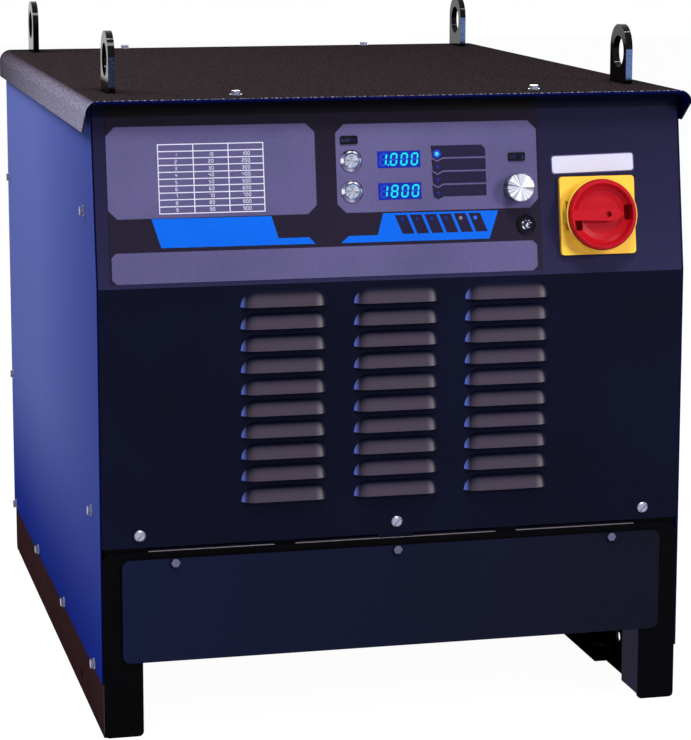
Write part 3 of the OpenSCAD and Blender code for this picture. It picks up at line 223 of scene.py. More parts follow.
def painted_light_on_ledges(tree, where):
    """Painted pale highlight on what looks straight up between the legs, left out in front of the tabs.

    A thin painted lavender sheen lies on faces that look inward."""
    normal = add(tree, "NewGeometry").outputs["Normal"]
    facing = add(tree, "SeparateXYZ", {0: normal}).outputs
    # Painted highlight on up-facing faces between the legs
    share = add(tree, "MapRange", {"Value": facing["Z"], "From Min": 0.3, "From Max": 0.9,
                                   "To Max": 0.85}).outputs[0]
    across = add(tree, "SeparateXYZ", {0: where}).outputs["X"]
    # Painted lavender sheen on faces that look inward
    inward = add(tree, "Math", {0: across, 1: facing["X"]}, operation="MULTIPLY").outputs[0]
    inner = add(tree, "Math", {0: inward, 1: -INWARD_REACH}, operation="LESS_THAN").outputs[0]
    across = add(tree, "Math", {0: across}, operation="ABSOLUTE").outputs[0]
    between = add(tree, "Math", {0: across, 1: LEDGE_HALF}, operation="LESS_THAN").outputs[0]
    at_tab = add(tree, "Math", {0: across, 1: TAB_X, 2: TAB_HALF}, operation="COMPARE").outputs[0]
    clear = add(tree, "Math", {0: between, 1: at_tab}, operation="SUBTRACT", use_clamp=True).outputs[0]
    share = add(tree, "Math", {0: share, 1: clear}, operation="MULTIPLY").outputs[0]
    share = add(tree, "Math", {0: share, 1: inner}, operation="MAXIMUM").outputs[0]
    over = add(tree, "Mix", {0: inner, 6: linear("#a89ca6"), 7: linear("#171340")}, data_type="RGBA")
    return share, over.outputs[2]


def painted_light_and_shade_on_film(tree, where):
    """Painted light that greys the film towards the bend, and a painted black shadow under the lid's lip."""
    height = add(tree, "SeparateXYZ", {0: where}).outputs["Z"]
    # Painted shadow under the lid's lip, and painted light greying the film towards the bend
    under = add(tree, "Math", {0: height, 1: LIP_SHADE_Z}, operation="GREATER_THAN").outputs[0]
    painted_light_share = add(tree, "MapRange", {"Value": height, "From Min": BEND_Z * MM, "From Max": LIP_SHADE_Z,
                                     "To Min": 0.1, "To Max": 0.0}).outputs[0]
    share = add(tree, "Math", {0: painted_light_share, 1: under}, operation="MAXIMUM").outputs[0]
    over = add(tree, "Mix", {0: under, 6: linear("#54486c"), 7: linear("#060508")}, data_type="RGBA")
    return share, over.outputs[2]


def tint_on_flap(tree, where):
    """A blue grey tint on the flap, strongest at the left, that thins out to the right."""
    across = add(tree, "SeparateXYZ", {0: where}).outputs["X"]
    share = add(tree, "MapRange", {"Value": across, "From Min": -FLAP_TINT_HALF, "From Max": FLAP_TINT_HALF,
                                   "To Min": 0.75, "To Max": 0.0}).outputs[0]
    return share, linear("#141b39")


# Blue powder coat on sheet steel: smooth, with an orange peel of shallow ripples that softens highlights; a
# painted pale sheen lies on the left side and painted shade on the front edges
blue_powder_coat = grain("blue_powder_coat", "#1b2b84", "#1f3192", 3.0, (0.4, 0.5), 0.08,
                         film=painted_sheen_and_shade_on_sides, Specular_IOR_Level=0.0)
# Fine textured coat on the front: near black with a navy cast, dull, with painted sheen on its slope and
# painted light on its louvres
navy_texture_coat = grain("navy_texture_coat", "#080a1a", "#0d1026", 1.6, (0.5, 0.62), 0.2,
                          film=painted_light_on_front, Specular_IOR_Level=0.04)
# Plain black powder coat on the base frame: a deep, dull black, with a painted pale highlight on its ledge
# and a faint painted lavender sheen on its inner faces
black_powder_coat = grain("black_powder_coat", "#030304", "#070709", 2.2, (0.4, 0.55), 0.1,
                          film=painted_light_on_ledges, Specular_IOR_Level=0.02)
# The rails' black has gone brownish, as a thin coat over primer does
thin_black_coat = grain("thin_black_coat", "#342122", "#422b2c", 2.2, (0.45, 0.6), 0.1,
                        Specular_IOR_Level=0.0)
# Gloss black enamel on the lifting bars: bright, clear reflections
gloss_black_enamel = grain("gloss_black_enamel", "#040405", "#08080a", 3.0, (0.06, 0.1), 0.02,
                           Specular_IOR_Level=0.1, Specular_Tint=(0.9, 0.88, 1.0, 1.0))
# Rubber sheet with an embossed pebble, dull, with a blue grey tint that gives its left half a navy cast
rubber_sheet = grain("rubber_sheet", "#0b0c15", "#131525", 2.4, (0.6, 0.8), 0.4, film=tint_on_flap,
                     Specular_IOR_Level=0.05)
# Matt polyester film printed dark from behind: a fine sparkle and no clear reflection, greyed towards the
# bend by painted light and black under the lid's lip by painted shadow
dark_film = grain("dark_film", "#140f1b", "#1e1828", 1.4, (0.5, 0.6), 0.1, film=painted_light_and_shade_on_film,
                  Specular_IOR_Level=0.06)
# The same film over the dark fields of the control plate: a bluer black
dark_print = grain("dark_print", "#1c1730", "#28213e", 1.4, (0.5, 0.6), 0.1, Specular_IOR_Level=0.06)
# The same film over its lavender grey print: pale and even, with a faint sparkle
lavender_print = grain("lavender_print", "#565078", "#68618c", 1.6, (0.5, 0.6), 0.1,
                       Specular_IOR_Level=0.05)
# The same film over its blue print: one strong, flat blue
blue_print = grain("blue_print", "#0860da", "#0a6cec", 1.4, (0.5, 0.6), 0.08, Specular_IOR_Level=0.06)
# The same film over its white lines: a cool white
white_print = grain("white_print", "#d4d2e8", "#eceaf8", 1.4, (0.5, 0.6), 0.06, Specular_IOR_Level=0.06)
# Vinyl label stock, white and slightly glossy, and the clear edge of its laminate
white_vinyl = grain("white_vinyl", "#cccae2", "#e0deee", 1.4, (0.35, 0.45), 0.05, Specular_IOR_Level=0.15)
label_laminate = grain("label_laminate", "#4a4672", "#5c5886", 1.4, (0.35, 0.45), 0.05,
                       Specular_IOR_Level=0.15)
# Moulded black ABS with a light spark-eroded texture: soft highlights on black
black_abs = grain("black_abs", "#030304", "#08080b", 1.0, (0.22, 0.34), 0.1, Specular_IOR_Level=0.1)
# Moulded ABS of the small rockers: soft highlights on a very dark blue, painted in for the bluish sheen on
# their black
navy_sheen_abs = grain("navy_sheen_abs", "#070b26", "#0c1238", 1.0, (0.22, 0.34), 0.1, Specular_IOR_Level=0.1)
# Moulded yellow and red polycarbonate of the main switch: clean gloss with faint flow marks
yellow_polycarbonate = grain("yellow_polycarbonate", "#ffbe38", "#ffd24c", 1.2, (0.28, 0.38), 0.04,
                             Specular_IOR_Level=0.2)
red_polycarbonate = grain("red_polycarbonate", "#a80814", "#c01020", 1.2, (0.3, 0.4), 0.04,
                          Specular_IOR_Level=0.1)
# Green solder mask on the control board: a glossy skin, mottled by the copper below it
green_solder_mask = grain("green_solder_mask", "#0d3b1c", "#16532a", 1.2, (0.25, 0.4), 0.2)
# Varnished steel laminations of the cores: dark metal with a broken sheen
varnished_laminations = grain("varnished_laminations", "#34343a", "#54545c", 0.9, (0.35, 0.5), 0.4,
                              Metallic=0.7)
# Enamelled copper of the windings and bus bars: warm brown metal with clear highlights
enamelled_copper = grain("enamelled_copper", "#7c3f1f", "#a85f34", 2.0, (0.25, 0.4), 0.3, Metallic=1.0)
# Turned brass of the weld sockets: bright yellow metal
turned_brass = grain("turned_brass", "#a9812f", "#c9a24e", 0.8, (0.2, 0.34), 0.2, Metallic=1.0)
# Extruded aluminium of the heat sink: pale metal with a soft sheen
extruded_aluminium = grain("extruded_aluminium", "#a9abb0", "#c4c6cb", 0.8, (0.3, 0.45), 0.25, Metallic=1.0)
# Zinc plating on the screws: pale metal with a faint cloudy spangle, darker on the flap's screws
darker_zinc = grain("darker_zinc", "#403e52", "#767492", 1.5, (0.3, 0.45), 0.15, Metallic=1.0)
zinc_plating = grain("zinc_plating", "#7c7e96", "#acaec2", 1.5, (0.26, 0.4), 0.15, Metallic=1.0)
# Chromed guard wire: bright and clear
chromed_wire = grain("chromed_wire", "#b4b6bd", "#d6d8de", 1.8, (0.1, 0.2), 0.08, Metallic=1.0)
# Gloss black moulding of the lock's body: dark, with small clear glints
gloss_black_abs = grain("gloss_black_abs", "#08070e", "#100e1c", 1.0, (0.1, 0.16), 0.05,
                        Specular_IOR_Level=0.1)
# Tinted acrylic of unlit lights: a dim colour under a clear gloss
dark_blue_acrylic = grain("dark_blue_acrylic", "#13246c", "#1a3090", 1.5, (0.2, 0.3), 0.03,
                          Specular_IOR_Level=0.1)
pale_grey_acrylic = grain("pale_grey_acrylic", "#6c6878", "#8c8898", 1.5, (0.2, 0.3), 0.03,
                          Specular_IOR_Level=0.1)

# Nickel of the lock's barrel: dark lavender grey, with a few painted bright glints
glinting_nickel, tree, shader, where = finish("glinting_nickel", Metallic=1.0, Roughness=0.2)
glint_noise = add(tree, "TexNoise", {"Vector": where, "Scale": per_metre(4), "Detail": 2.0, "Roughness": 0.7})
nickel = add(tree, "ValToRGB", {"Fac": glint_noise.outputs["Fac"]},
             [(0.46, linear("#1a1828")), (0.54, linear("#4c4868")), (0.62, linear("#e8e8f0"))])
tree.links.new(nickel.outputs["Color"], shader.inputs["Base Color"])

# Black wrinkle coat on the lid: a cured skin of tight folds, drawn twice as coarse to show, with a painted
# pale sheen on its flanges, and worn to bright steel along the front edge; the cabinet's blue is on the
# inside
LID_SETBACK = 6.0
LID_FRONT = (LID_SETBACK - MID_Y) * MM
LID_TOP = 0.723
LID_MIDDLE = (0.0, 0.0, 0.65)
WORN_EDGE = 0.0007
FRONT_BAND = 0.0004
LIP_LOW = 0.718
INSIDE_FACING = -0.05
black_wrinkle_coat, tree, shader, where = finish("black_wrinkle_coat", Specular_IOR_Level=0.0)
folds = add(tree, "TexNoise", {"Vector": where, "Scale": per_metre(2.2), "Detail": 2.0, "Roughness": 0.6})
skin = add(tree, "ValToRGB", {"Fac": folds.outputs["Fac"]},
           [(SHADE_LOW, linear("#171314")), (SHADE_HIGH, linear("#393033"))]).outputs["Color"]
normal = add(tree, "NewGeometry").outputs["Normal"]
# Painted sheen: faces that look sideways, the flanges, turn pale, most towards the front
sideways = add(tree, "SeparateXYZ", {0: normal}).outputs["X"]
sideways = add(tree, "Math", {0: sideways}, operation="ABSOLUTE").outputs[0]
flange_sheen = add(tree, "MapRange", {"Value": sideways, "From Min": 0.3, "From Max": 1.0}).outputs[0]
along = add(tree, "SeparateXYZ", {0: where}).outputs["Y"]
fading = add(tree, "MapRange", {"Value": along, "From Min": LID_FRONT, "From Max": -LID_FRONT,
                                "To Min": 1.0, "To Max": 0.12}).outputs[0]
flange_sheen = add(tree, "Math", {0: flange_sheen, 1: fading}, operation="MULTIPLY").outputs[0]
pale = add(tree, "ValToRGB", {"Fac": folds.outputs["Fac"]},
           [(0.32, linear("#5a5568")), (0.66, linear("#bcb8d6"))]).outputs["Color"]
skin = add(tree, "Mix", {0: flange_sheen, 6: skin, 7: pale}, data_type="RGBA").outputs[2]
outward = add(tree, "VectorMath", {0: where, 1: (1.0, 0.0, 1.0)}, operation="MULTIPLY").outputs[0]
outward = add(tree, "VectorMath", {0: outward, 1: LID_MIDDLE}, operation="SUBTRACT").outputs[0]
facing = add(tree, "VectorMath", {0: normal, 1: outward}, operation="DOT_PRODUCT").outputs["Value"]
inside = add(tree, "Math", {0: facing, 1: INSIDE_FACING}, operation="LESS_THAN").outputs[0]
skin = add(tree, "Mix", {0: inside, 6: skin, 7: linear("#060f48")}, data_type="RGBA").outputs[2]
place = add(tree, "SeparateXYZ", {0: where}).outputs
at_front = add(tree, "Math", {0: place["Y"], 1: LID_FRONT + FRONT_BAND}, operation="LESS_THAN").outputs[0]
low_edge = add(tree, "Math", {0: place["Z"], 1: LID_TOP - WORN_EDGE}, operation="LESS_THAN").outputs[0]
high_edge = add(tree, "Math", {0: 1.0, 1: low_edge}, operation="SUBTRACT").outputs[0]
painted = add(tree, "Math", {0: at_front, 1: low_edge}, operation="MULTIPLY").outputs[0]
edge_up = add(tree, "MapRange", {"Value": place["Z"], "From Min": LIP_LOW, "From Max": LID_TOP})
edge_blue = add(tree, "ValToRGB", {"Fac": edge_up.outputs[0]},
                [(0.3, linear("#04071e")), (0.75, linear("#0b1452"))]).outputs["Color"]
skin = add(tree, "Mix", {0: painted, 6: skin, 7: edge_blue}, data_type="RGBA").outputs[2]
scratches = add(tree, "TexNoise", {"W": place["X"], "Scale": per_metre(4), "Detail": 3.0},
                noise_dimensions="1D")
scraped = add(tree, "MapRange", {"Value": scratches.outputs["Fac"], "From Min": 0.44, "From Max": 0.66})
worn = add(tree, "Math", {0: at_front, 1: high_edge}, operation="MULTIPLY").outputs[0]
worn = add(tree, "Math", {0: worn, 1: scraped.outputs[0]}, operation="MULTIPLY").outputs[0]
skin = add(tree, "Mix", {0: worn, 6: skin, 7: linear("#9c98a4")}, data_type="RGBA").outputs[2]
tree.links.new(skin, shader.inputs["Base Color"])
gloss = add(tree, "MapRange", {"Value": folds.outputs["Fac"], "From Min": GLOSS_LOW, "From Max": GLOSS_HIGH,
                               "To Min": 0.6, "To Max": 0.85})
tree.links.new(gloss.outputs["Result"], shader.inputs["Roughness"])
raised = add(tree, "Bump", {"Height": folds.outputs["Fac"], "Strength": 0.6, "Distance": 1.5 * MM})
tree.links.new(raised.outputs["Normal"], shader.inputs["Normal"])


def turned(name, centre, dark, light, metal_rough, sectors):
    """A faced metal disc: lathe lines run round it, and the light and dark sectors that they reflect are
    painted in, fanning out from the middle.

    The lines are drawn coarser than real, so that they show."""
    made, tree, shader, where = finish(name, Metallic=1.0, Roughness=metal_rough, Anisotropic=0.6)
    across = add(tree, "VectorMath", {0: where, 1: centre}, operation="SUBTRACT").outputs["Vector"]
    along_x = add(tree, "VectorMath", {0: across, 1: (1.0, 0.0, 0.0)}, operation="DOT_PRODUCT")
    along_up = add(tree, "VectorMath", {0: across, 1: SLOPE_UP}, operation="DOT_PRODUCT")
    angle = add(tree, "Math", {0: along_up.outputs["Value"], 1: along_x.outputs["Value"]},
                operation="ARCTAN2")
    # Painted reflection: light and dark sectors round the centre
    fan = add(tree, "TexNoise", {"W": angle.outputs[0], "Scale": sectors, "Detail": 4.0, "Roughness": 0.7},
              noise_dimensions="1D")
    shades = [(0.36, linear(dark)), (0.6, linear(light))]
    fanned = add(tree, "ValToRGB", {"Fac": fan.outputs["Fac"]}, shades)
    tree.links.new(fanned.outputs["Color"], shader.inputs["Base Color"])
    radius = add(tree, "VectorMath", {0: across}, operation="LENGTH").outputs["Value"]
    lines = add(tree, "TexNoise", {"W": radius, "Scale": per_metre(0.4), "Detail": 2.0},
                noise_dimensions="1D")
    raised = add(tree, "Bump", {"Height": lines.outputs["Fac"], "Strength": 0.15, "Distance": 0.2 * MM})
    tree.links.new(raised.outputs["Normal"], shader.inputs["Normal"])
    return made


def lit(name, code, strength):
    """Backlit acrylic: dark by itself, it glows in its own colour, a little stronger towards some spots."""
    made, tree, shader, where = finish(name, Roughness=0.25, Specular_IOR_Level=0.1,
                                       Emission_Strength=strength)
    cloud = add(tree, "TexNoise", {"Vector": where, "Scale": per_metre(6), "Detail": 1.0})
    colour = linear(code)
    shades = [(0.3, [0.86 * c for c in colour[:3]] + [1.0]), (0.7, colour)]
    glow = add(tree, "ValToRGB", {"Fac": cloud.outputs["Fac"]}, shades).outputs["Color"]
    tree.links.new(glow, shader.inputs["Emission Color"])
    dim = add(tree, "VectorMath", {0: glow, 1: (0.1, 0.1, 0.1)}, operation="MULTIPLY")
    tree.links.new(dim.outputs["Vector"], shader.inputs["Base Color"])
    return made


# Turned aluminium of the knob, bright, and turned chrome of the push buttons' faces, darker, both with
# painted reflection sectors
BUTTON_X = -49.5
BUTTONS = {"upper": 135.6, "lower": 101.0}
BUTTON_PLANE = 4.0
KNOB = (144.0, 100.0)
KNOB_PLANE = 19.0
turned_knob = turned("turned_knob", on_slope(*KNOB, KNOB_PLANE), "#606374", "#eceef6", 0.26, 1.9)
button_face = {key: turned("turned_button_" + key, on_slope(BUTTON_X, s, BUTTON_PLANE), "#4c4a5c",
                           "#c8c6d6", 0.22, 1.8) for key, s in BUTTONS.items()}
# Backlit royal blue of the display windows, and the colours of what glows on the panel
display_glass = lit("display_glass", "#102aa8", 1.0)
ghost_segment = lit("ghost_segment", "#2348d8", 1.0)
cyan_segment = lit("cyan_segment", "#18e2ff", 1.0)
# Film around the lit light: its glow fades out over a few millimetres
glowing_film, tree, shader, where = finish("glowing_film", Roughness=0.5, Specular_IOR_Level=0.06,
                                           Emission_Strength=1.0)
shader.inputs["Base Color"].default_value = linear("#19131f")
MENU_LIGHT_X = 50.7
MENU_LIGHT_TOP = 141.0
GLOW_R = 6.0
GLOW_PROUD = 0.6
away = add(tree, "VectorMath", {0: where, 1: on_slope(MENU_LIGHT_X, MENU_LIGHT_TOP, GLOW_PROUD)},
           operation="DISTANCE")
spread = add(tree, "Math", {0: away.outputs["Value"], 1: GLOW_R * MM}, operation="DIVIDE").outputs[0]
glow = add(tree, "ValToRGB", {"Fac": spread}, [(0.4, linear("#0a6cff")), (0.65, linear("#0c38b8")),
                                               (1.0, linear("#000000"))])
tree.links.new(glow.outputs["Color"], shader.inputs["Emission Color"])
cyan_light = lit("cyan_light", "#4ed2ff", 1.1)
blue_light = lit("blue_light", "#1c72f8", 1.0)
ring_light = lit("ring_light", "#8cc4ff", 0.9)

# Polished chrome of the push buttons' bezels: painted reflections, a few bright spots of painted highlight
# between darker arcs, written as a colour for each angle round it, in degrees
BEZEL_PLANE = 3.0
polished_chrome, tree, shader, where = finish("polished_chrome", Metallic=1.0, Roughness=0.12)
from_lower = add(tree, "VectorMath", {0: where, 1: on_slope(BUTTON_X, BUTTONS["lower"], BEZEL_PLANE)},
                 operation="SUBTRACT").outputs["Vector"]
along_x = add(tree, "SeparateXYZ", {0: from_lower}).outputs["X"]
along_up = add(tree, "VectorMath", {0: from_lower, 1: SLOPE_UP}, operation="DOT_PRODUCT").outputs["Value"]
half_pitch = (BUTTONS["upper"] - BUTTONS["lower"]) / 2 * MM
along_up = add(tree, "Math", {0: along_up, 1: half_pitch, 2: -half_pitch}, operation="WRAP").outputs[0]
angle = add(tree, "Math", {0: along_up, 1: along_x}, operation="ARCTAN2").outputs[0]
turn_share = add(tree, "MapRange", {"Value": angle, "From Min": -math.pi, "From Max": math.pi}).outputs[0]
REFLECTION_ANGLES = {-172: "#f0f0fc", -160: "#4a4866", -120: "#8280a4", -95: "#b2b0d0", -70: "#58567a",
               -20: "#706e92", 8: "#b8b6d8", 22: "#4c4a6a", 48: "#8280a4", 62: "#f8f8fc", 74: "#f8f8fc",
               84: "#6c6a8c", 96: "#f8f8fc", 108: "#f8f8fc", 124: "#565476", 160: "#7c7a9e", 172: "#f0f0fc"}
chrome = add(tree, "ValToRGB", {"Fac": turn_share},
             [(0.5 + degrees / 360, linear(code)) for degrees, code in REFLECTION_ANGLES.items()])
tree.links.new(chrome.outputs["Color"], shader.inputs["Base Color"])

SLOT_FINISH = {
    "base_black": black_powder_coat, "panel_navy": navy_texture_coat, "side_blue": blue_powder_coat,
    "lid_wrinkle": black_wrinkle_coat, "bar_gloss": gloss_black_enamel, "zinc": zinc_plating,
    "guard_chrome": chromed_wire, "socket_brass": turned_brass, "flap_rubber": rubber_sheet,
    "overlay_film": dark_film, "display_blue": display_glass, "button_chrome": polished_chrome,
    "black_plastic": black_abs, "knob_aluminium": turned_knob, "light_lens": dark_blue_acrylic,
    "switch_yellow": yellow_polycarbonate, "switch_red": red_polycarbonate,
    "core_steel": varnished_laminations, "winding_copper": enamelled_copper,
    "sink_aluminium": extruded_aluminium, "board_green": green_solder_mask,
}
for subpart in frame["record"]["subparts"]:
    shown = frame["nodes"][subpart["node"]]
    shown.data.materials.clear()
    shown.data.materials.append(SLOT_FINISH[subpart["material_slot"]])
for key, material in button_face.items():
    frame["nodes"]["button_" + key].data.materials[0] = material
frame["nodes"]["lock_barrel"].data.materials[0] = glinting_nickel
frame["nodes"]["lock_body"].data.materials[0] = gloss_black_abs
frame["nodes"]["flap_screws"].data.materials[0] = darker_zinc
for side in ("left", "right"):
    frame["nodes"]["rocker_" + side].data.materials[0] = navy_sheen_abs
    frame["nodes"]["rail_" + side].data.materials[0] = thin_black_coat

# The lifting bars' edges are broken by hand, so that they catch a line of light
for node in ("front_left", "front_right", "rear_left", "rear_right"):
    broken = frame["nodes"]["lifting_bar_" + node].modifiers.new("broken_edges", "BEVEL")
    broken.width = 0.7 * MM
    broken.segments = 2
    broken.limit_method = "ANGLE"
    broken.angle_limit = math.radians(50.0)

# Pieces


def new_piece(name, mesh, material, body):
    """A bmesh as a named piece that rides on a body, when one is given, and takes the finish it is handed.
    """
    data = bpy.data.meshes.new(name)
    bmesh.ops.recalc_face_normals(mesh, faces=mesh.faces)
    mesh.to_mesh(data)
    mesh.free()
    made = bpy.data.objects.new(name, data)
    bpy.context.scene.collection.objects.link(made)
    made.data.materials.append(material)
    if body:
        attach(made, body)
    return made


def add_prism(mesh, outline, low, high, spread=0.0):
    """A plate on the control panel between two heights; its top edge is drawn in by spread."""
    middle = Vector((sum(p[0] for p in outline), sum(p[1] for p in outline))) / len(outline)
    foot = [mesh.verts.new(on_slope(x, s, low)) for x, s in outline]
    top = []
    for x, s in outline:
        away = Vector((x, s)) - middle
        drawn = Vector((x, s)) - away.normalized() * spread
        top.append(mesh.verts.new(on_slope(drawn.x, drawn.y, high)))
    mesh.faces.new(top)
    mesh.faces.new(reversed(foot))
    for i in range(len(foot)):
        j = (i + 1) % len(foot)
        mesh.faces.new((foot[i], foot[j], top[j], top[i]))


def chamfered(left, low, right, high, cut):
    """A rectangle with all four corners cut off."""
    return [(left + cut, low), (right - cut, low), (right, low + cut), (right, high - cut),
            (right - cut, high), (left + cut, high), (left, high - cut), (left, low + cut)]


def rounded(left, low, right, high, radius, steps=6):
    """A rectangle with round corners."""
    points = []
    corners = [(right - radius, low + radius, -90), (right - radius, high - radius, 0),
               (left + radius, high - radius, 90), (left + radius, low + radius, 180)]
    for x, s, start in corners:
        for i in range(steps + 1):
            a = math.radians(start + 90 * i / steps)
            points.append((x + radius * math.cos(a), s + radius * math.sin(a)))
    return points


def print_piece(name, outlines, low, high, material, spread=0.0):
    """One layer of print or of thin plates on the control panel."""
    mesh = bmesh.new()
    for outline in outlines:
        add_prism(mesh, outline, low, high, spread)
    new_piece(name, mesh, material, "cabinet")


FILM = 0.5
INK = 0.08

# Lavender plates of the overlay, the blue stripes between them, and the dark fields on the control plate
lavender_plates = [chamfered(-327, 77, -91, 179, 10), chamfered(-67, 77, 169, 177, 10),
                   chamfered(-325, 5, 166, 39.4, 5)]
print_piece("lavender_fields", lavender_plates, FILM, FILM + INK, lavender_print)
print_piece("blue_stripes", [
    [(-279, 76.5), (-269, 44), (-94, 43.5), (-101, 51), (-136, 51), (-143.4, 76)],
    [(-14.5, 75.5), (-21.5, 51), (-55.2, 51), (-64.3, 43.3), (109.7, 43), (120.8, 75)],
], FILM, FILM + INK, blue_print)

MENU_LEFT = 43.6
MENU_RIGHT = 108.0
MENU_STEP = 14.9
MENU_HIGH = 150.5
MENU_TOP = 135.2
MENU_TALL = 13.0
NOTCH_DEEP = 3.3
NOTCH_LEFT, NOTCH_RIGHT = 5.6, 6.9


def menu_field(row):
    """One dark field of the menu, whose lower edge dips to a point under its light."""
    top = MENU_HIGH if row == 0 else MENU_TOP - (row - 1) * MENU_STEP
    low = MENU_TOP - (row - 1) * MENU_STEP - MENU_TALL
    outline = [(MENU_LEFT + 1.5, low), (MENU_LIGHT_X - NOTCH_LEFT, low),
               (MENU_LIGHT_X, low - NOTCH_DEEP), (MENU_LIGHT_X + NOTCH_RIGHT, low), (MENU_RIGHT, low)]
    if row == 0:
        return outline + [(MENU_RIGHT, top - 5), (MENU_RIGHT - 4.6, top), (MENU_LEFT, top)]
    return outline + [(MENU_RIGHT, top), (MENU_LIGHT_X + NOTCH_RIGHT, top),
                      (MENU_LIGHT_X, top - NOTCH_DEEP), (MENU_LIGHT_X - NOTCH_LEFT, top),
                      (MENU_LEFT + 0.5, top)]


STATUS_X = -1.0
STATUS_STEP = 17.3
STATUS_WIDE = 13.7
STATUS_LEAN = 8.6
STATUS_LOW, STATUS_HIGH = 51.5, 73.0


def status_field(i):
    """One slanted dark field of the status row."""
    left = STATUS_X + i * STATUS_STEP
    return [(left, STATUS_HIGH), (left + STATUS_LEAN, STATUS_LOW),
            (left + STATUS_LEAN + STATUS_WIDE, STATUS_LOW), (left + STATUS_WIDE, STATUS_HIGH)]


print_piece("dark_fields", [menu_field(row) for row in range(4)] + [status_field(i) for i in range(6)],
            FILM + INK, FILM + 2 * INK, dark_print)

print_piece("menu_light_glow", [rounded(MENU_LIGHT_X - GLOW_R, MENU_LIGHT_TOP - GLOW_R,
                                        MENU_LIGHT_X + GLOW_R, MENU_LIGHT_TOP + GLOW_R, GLOW_R)],
            FILM + 2 * INK, FILM + 2.5 * INK, glowing_film)

# Settings table: ruled lines, filled with plain counting numbers
TABLE_LEFT, TABLE_RIGHT, TABLE_LOW, TABLE_HIGH = -269.5, -150.4, 81.9, 158.6
TABLE_ROWS = 10
TABLE_COLUMNS = 3
RULE = 0.55


def bar(left, low, right, high):
    """A plain rectangle."""
    return [(left, low), (right, low), (right, high), (left, high)]


row_tall = (TABLE_HIGH - TABLE_LOW) / TABLE_ROWS
column_wide = (TABLE_RIGHT - TABLE_LEFT) / TABLE_COLUMNS
rules = []
for j in range(TABLE_ROWS + 1):
    s = TABLE_LOW + j * row_tall
    rules.append(bar(TABLE_LEFT - RULE, s - RULE, TABLE_RIGHT + RULE, s + RULE))
for i in range(TABLE_COLUMNS + 1):
    x = TABLE_LEFT + i * column_wide
    for j in range(TABLE_ROWS):
        s = TABLE_LOW + j * row_tall
        rules.append(bar(x - RULE, s + RULE, x + RULE, s + row_tall - RULE))
print_piece("table_rules", rules, FILM + INK, FILM + 2 * INK, white_print)

# Seven-segment digits, slanted, with the unlit segments faintly visible
DIGIT_SEGMENTS = {"0": "abcdef", "1": "bc", "2": "abged", "3": "abgcd", "4": "fgbc", "5": "afgcd",
                  "6": "afgedc", "7": "abc", "8": "abcdefg", "9": "abcdfg"}


def segment_outline(segment, wide, tall, stroke):
    """One segment of a digit about the digit's middle, with pointed ends."""
    half_w, half_t, gap, r = wide / 2, tall / 2, stroke * 0.12, stroke / 2
    level = {"a": half_t, "g": 0.0, "d": -half_t}
    if segment in level:
        s = level[segment]
        x0, x1 = -half_w + gap, half_w - gap
        return [(x0, s), (x0 + r, s - r), (x1 - r, s - r), (x1, s), (x1 - r, s + r), (x0 + r, s + r)]
    x = half_w if segment in "bc" else -half_w
    s0, s1 = (gap, half_t - gap) if segment in "bf" else (-half_t + gap, -gap)
    return [(x, s0), (x + r, s0 + r), (x + r, s1 - r), (x, s1), (x - r, s1 - r), (x - r, s0 + r)]


def digit_outlines(text, x, s, pitch, wide, tall, stroke, slant, ghost=False):
    """The lit segments of a row of digits, or with ghost the ones that stay dark."""
    found = []
    for i, character in enumerate(text):
        middle = x + (i - (len(text) - 1) / 2) * pitch
        for segment in "abcdefg":
            if (segment in DIGIT_SEGMENTS[character]) == ghost:
                continue
            found.append([(middle + u + v * slant, s + v)
                          for u, v in segment_outline(segment, wide, tall, stroke)])
    return found


DISPLAY_X = 6.0
DISPLAY_TOP = FILM + 0.4
SEGMENT_T = 0.1
DIGIT_PITCH, DIGIT_WIDE, DIGIT_TALL, DIGIT_STROKE, DIGIT_SLANT = 12.2, 6.6, 12.6, 2.0, 0.12
POINT_LEFT, POINT_RIGHT, POINT_LOW, POINT_HIGH, POINT_R = -1.4, 0.6, -7.2, -5.2, 0.8
for label, s, number, point in (("upper", 136.0, "1000", 0), ("lower", 100.0, "1800", None)):
    sizes = (DISPLAY_X, s, DIGIT_PITCH, DIGIT_WIDE, DIGIT_TALL, DIGIT_STROKE, DIGIT_SLANT)
    shining = digit_outlines(number, *sizes)
    if point is not None:
        dot = DISPLAY_X + (point - 1) * DIGIT_PITCH
        shining.append(rounded(dot + POINT_LEFT, s + POINT_LOW, dot + POINT_RIGHT, s + POINT_HIGH, POINT_R))
    print_piece("digits_" + label, shining, DISPLAY_TOP, DISPLAY_TOP + SEGMENT_T, cyan_segment)
    print_piece("dark_segments_" + label, digit_outlines(number, *sizes, ghost=True), DISPLAY_TOP,
                DISPLAY_TOP + SEGMENT_T, ghost_segment)

# Table numbers in the same stroke figures, small and upright
FIGURE_PITCH, FIGURE_WIDE, FIGURE_TALL, FIGURE_STROKE = 3.4, 2.0, 3.4, 0.6
numbers = []
for j in range(TABLE_ROWS - 1):
    s = TABLE_HIGH - (j + 1.5) * row_tall
    for i, text in enumerate((str(j + 1), str(10 * (j + 1)), str(100 * (j + 1)))):
        x = TABLE_LEFT + (i + 0.5) * column_wide
        numbers += digit_outlines(text, x, s, FIGURE_PITCH, FIGURE_WIDE, FIGURE_TALL, FIGURE_STROKE, 0.0)
print_piece("table_numbers", numbers, FILM + INK, FILM + 2 * INK, white_print)


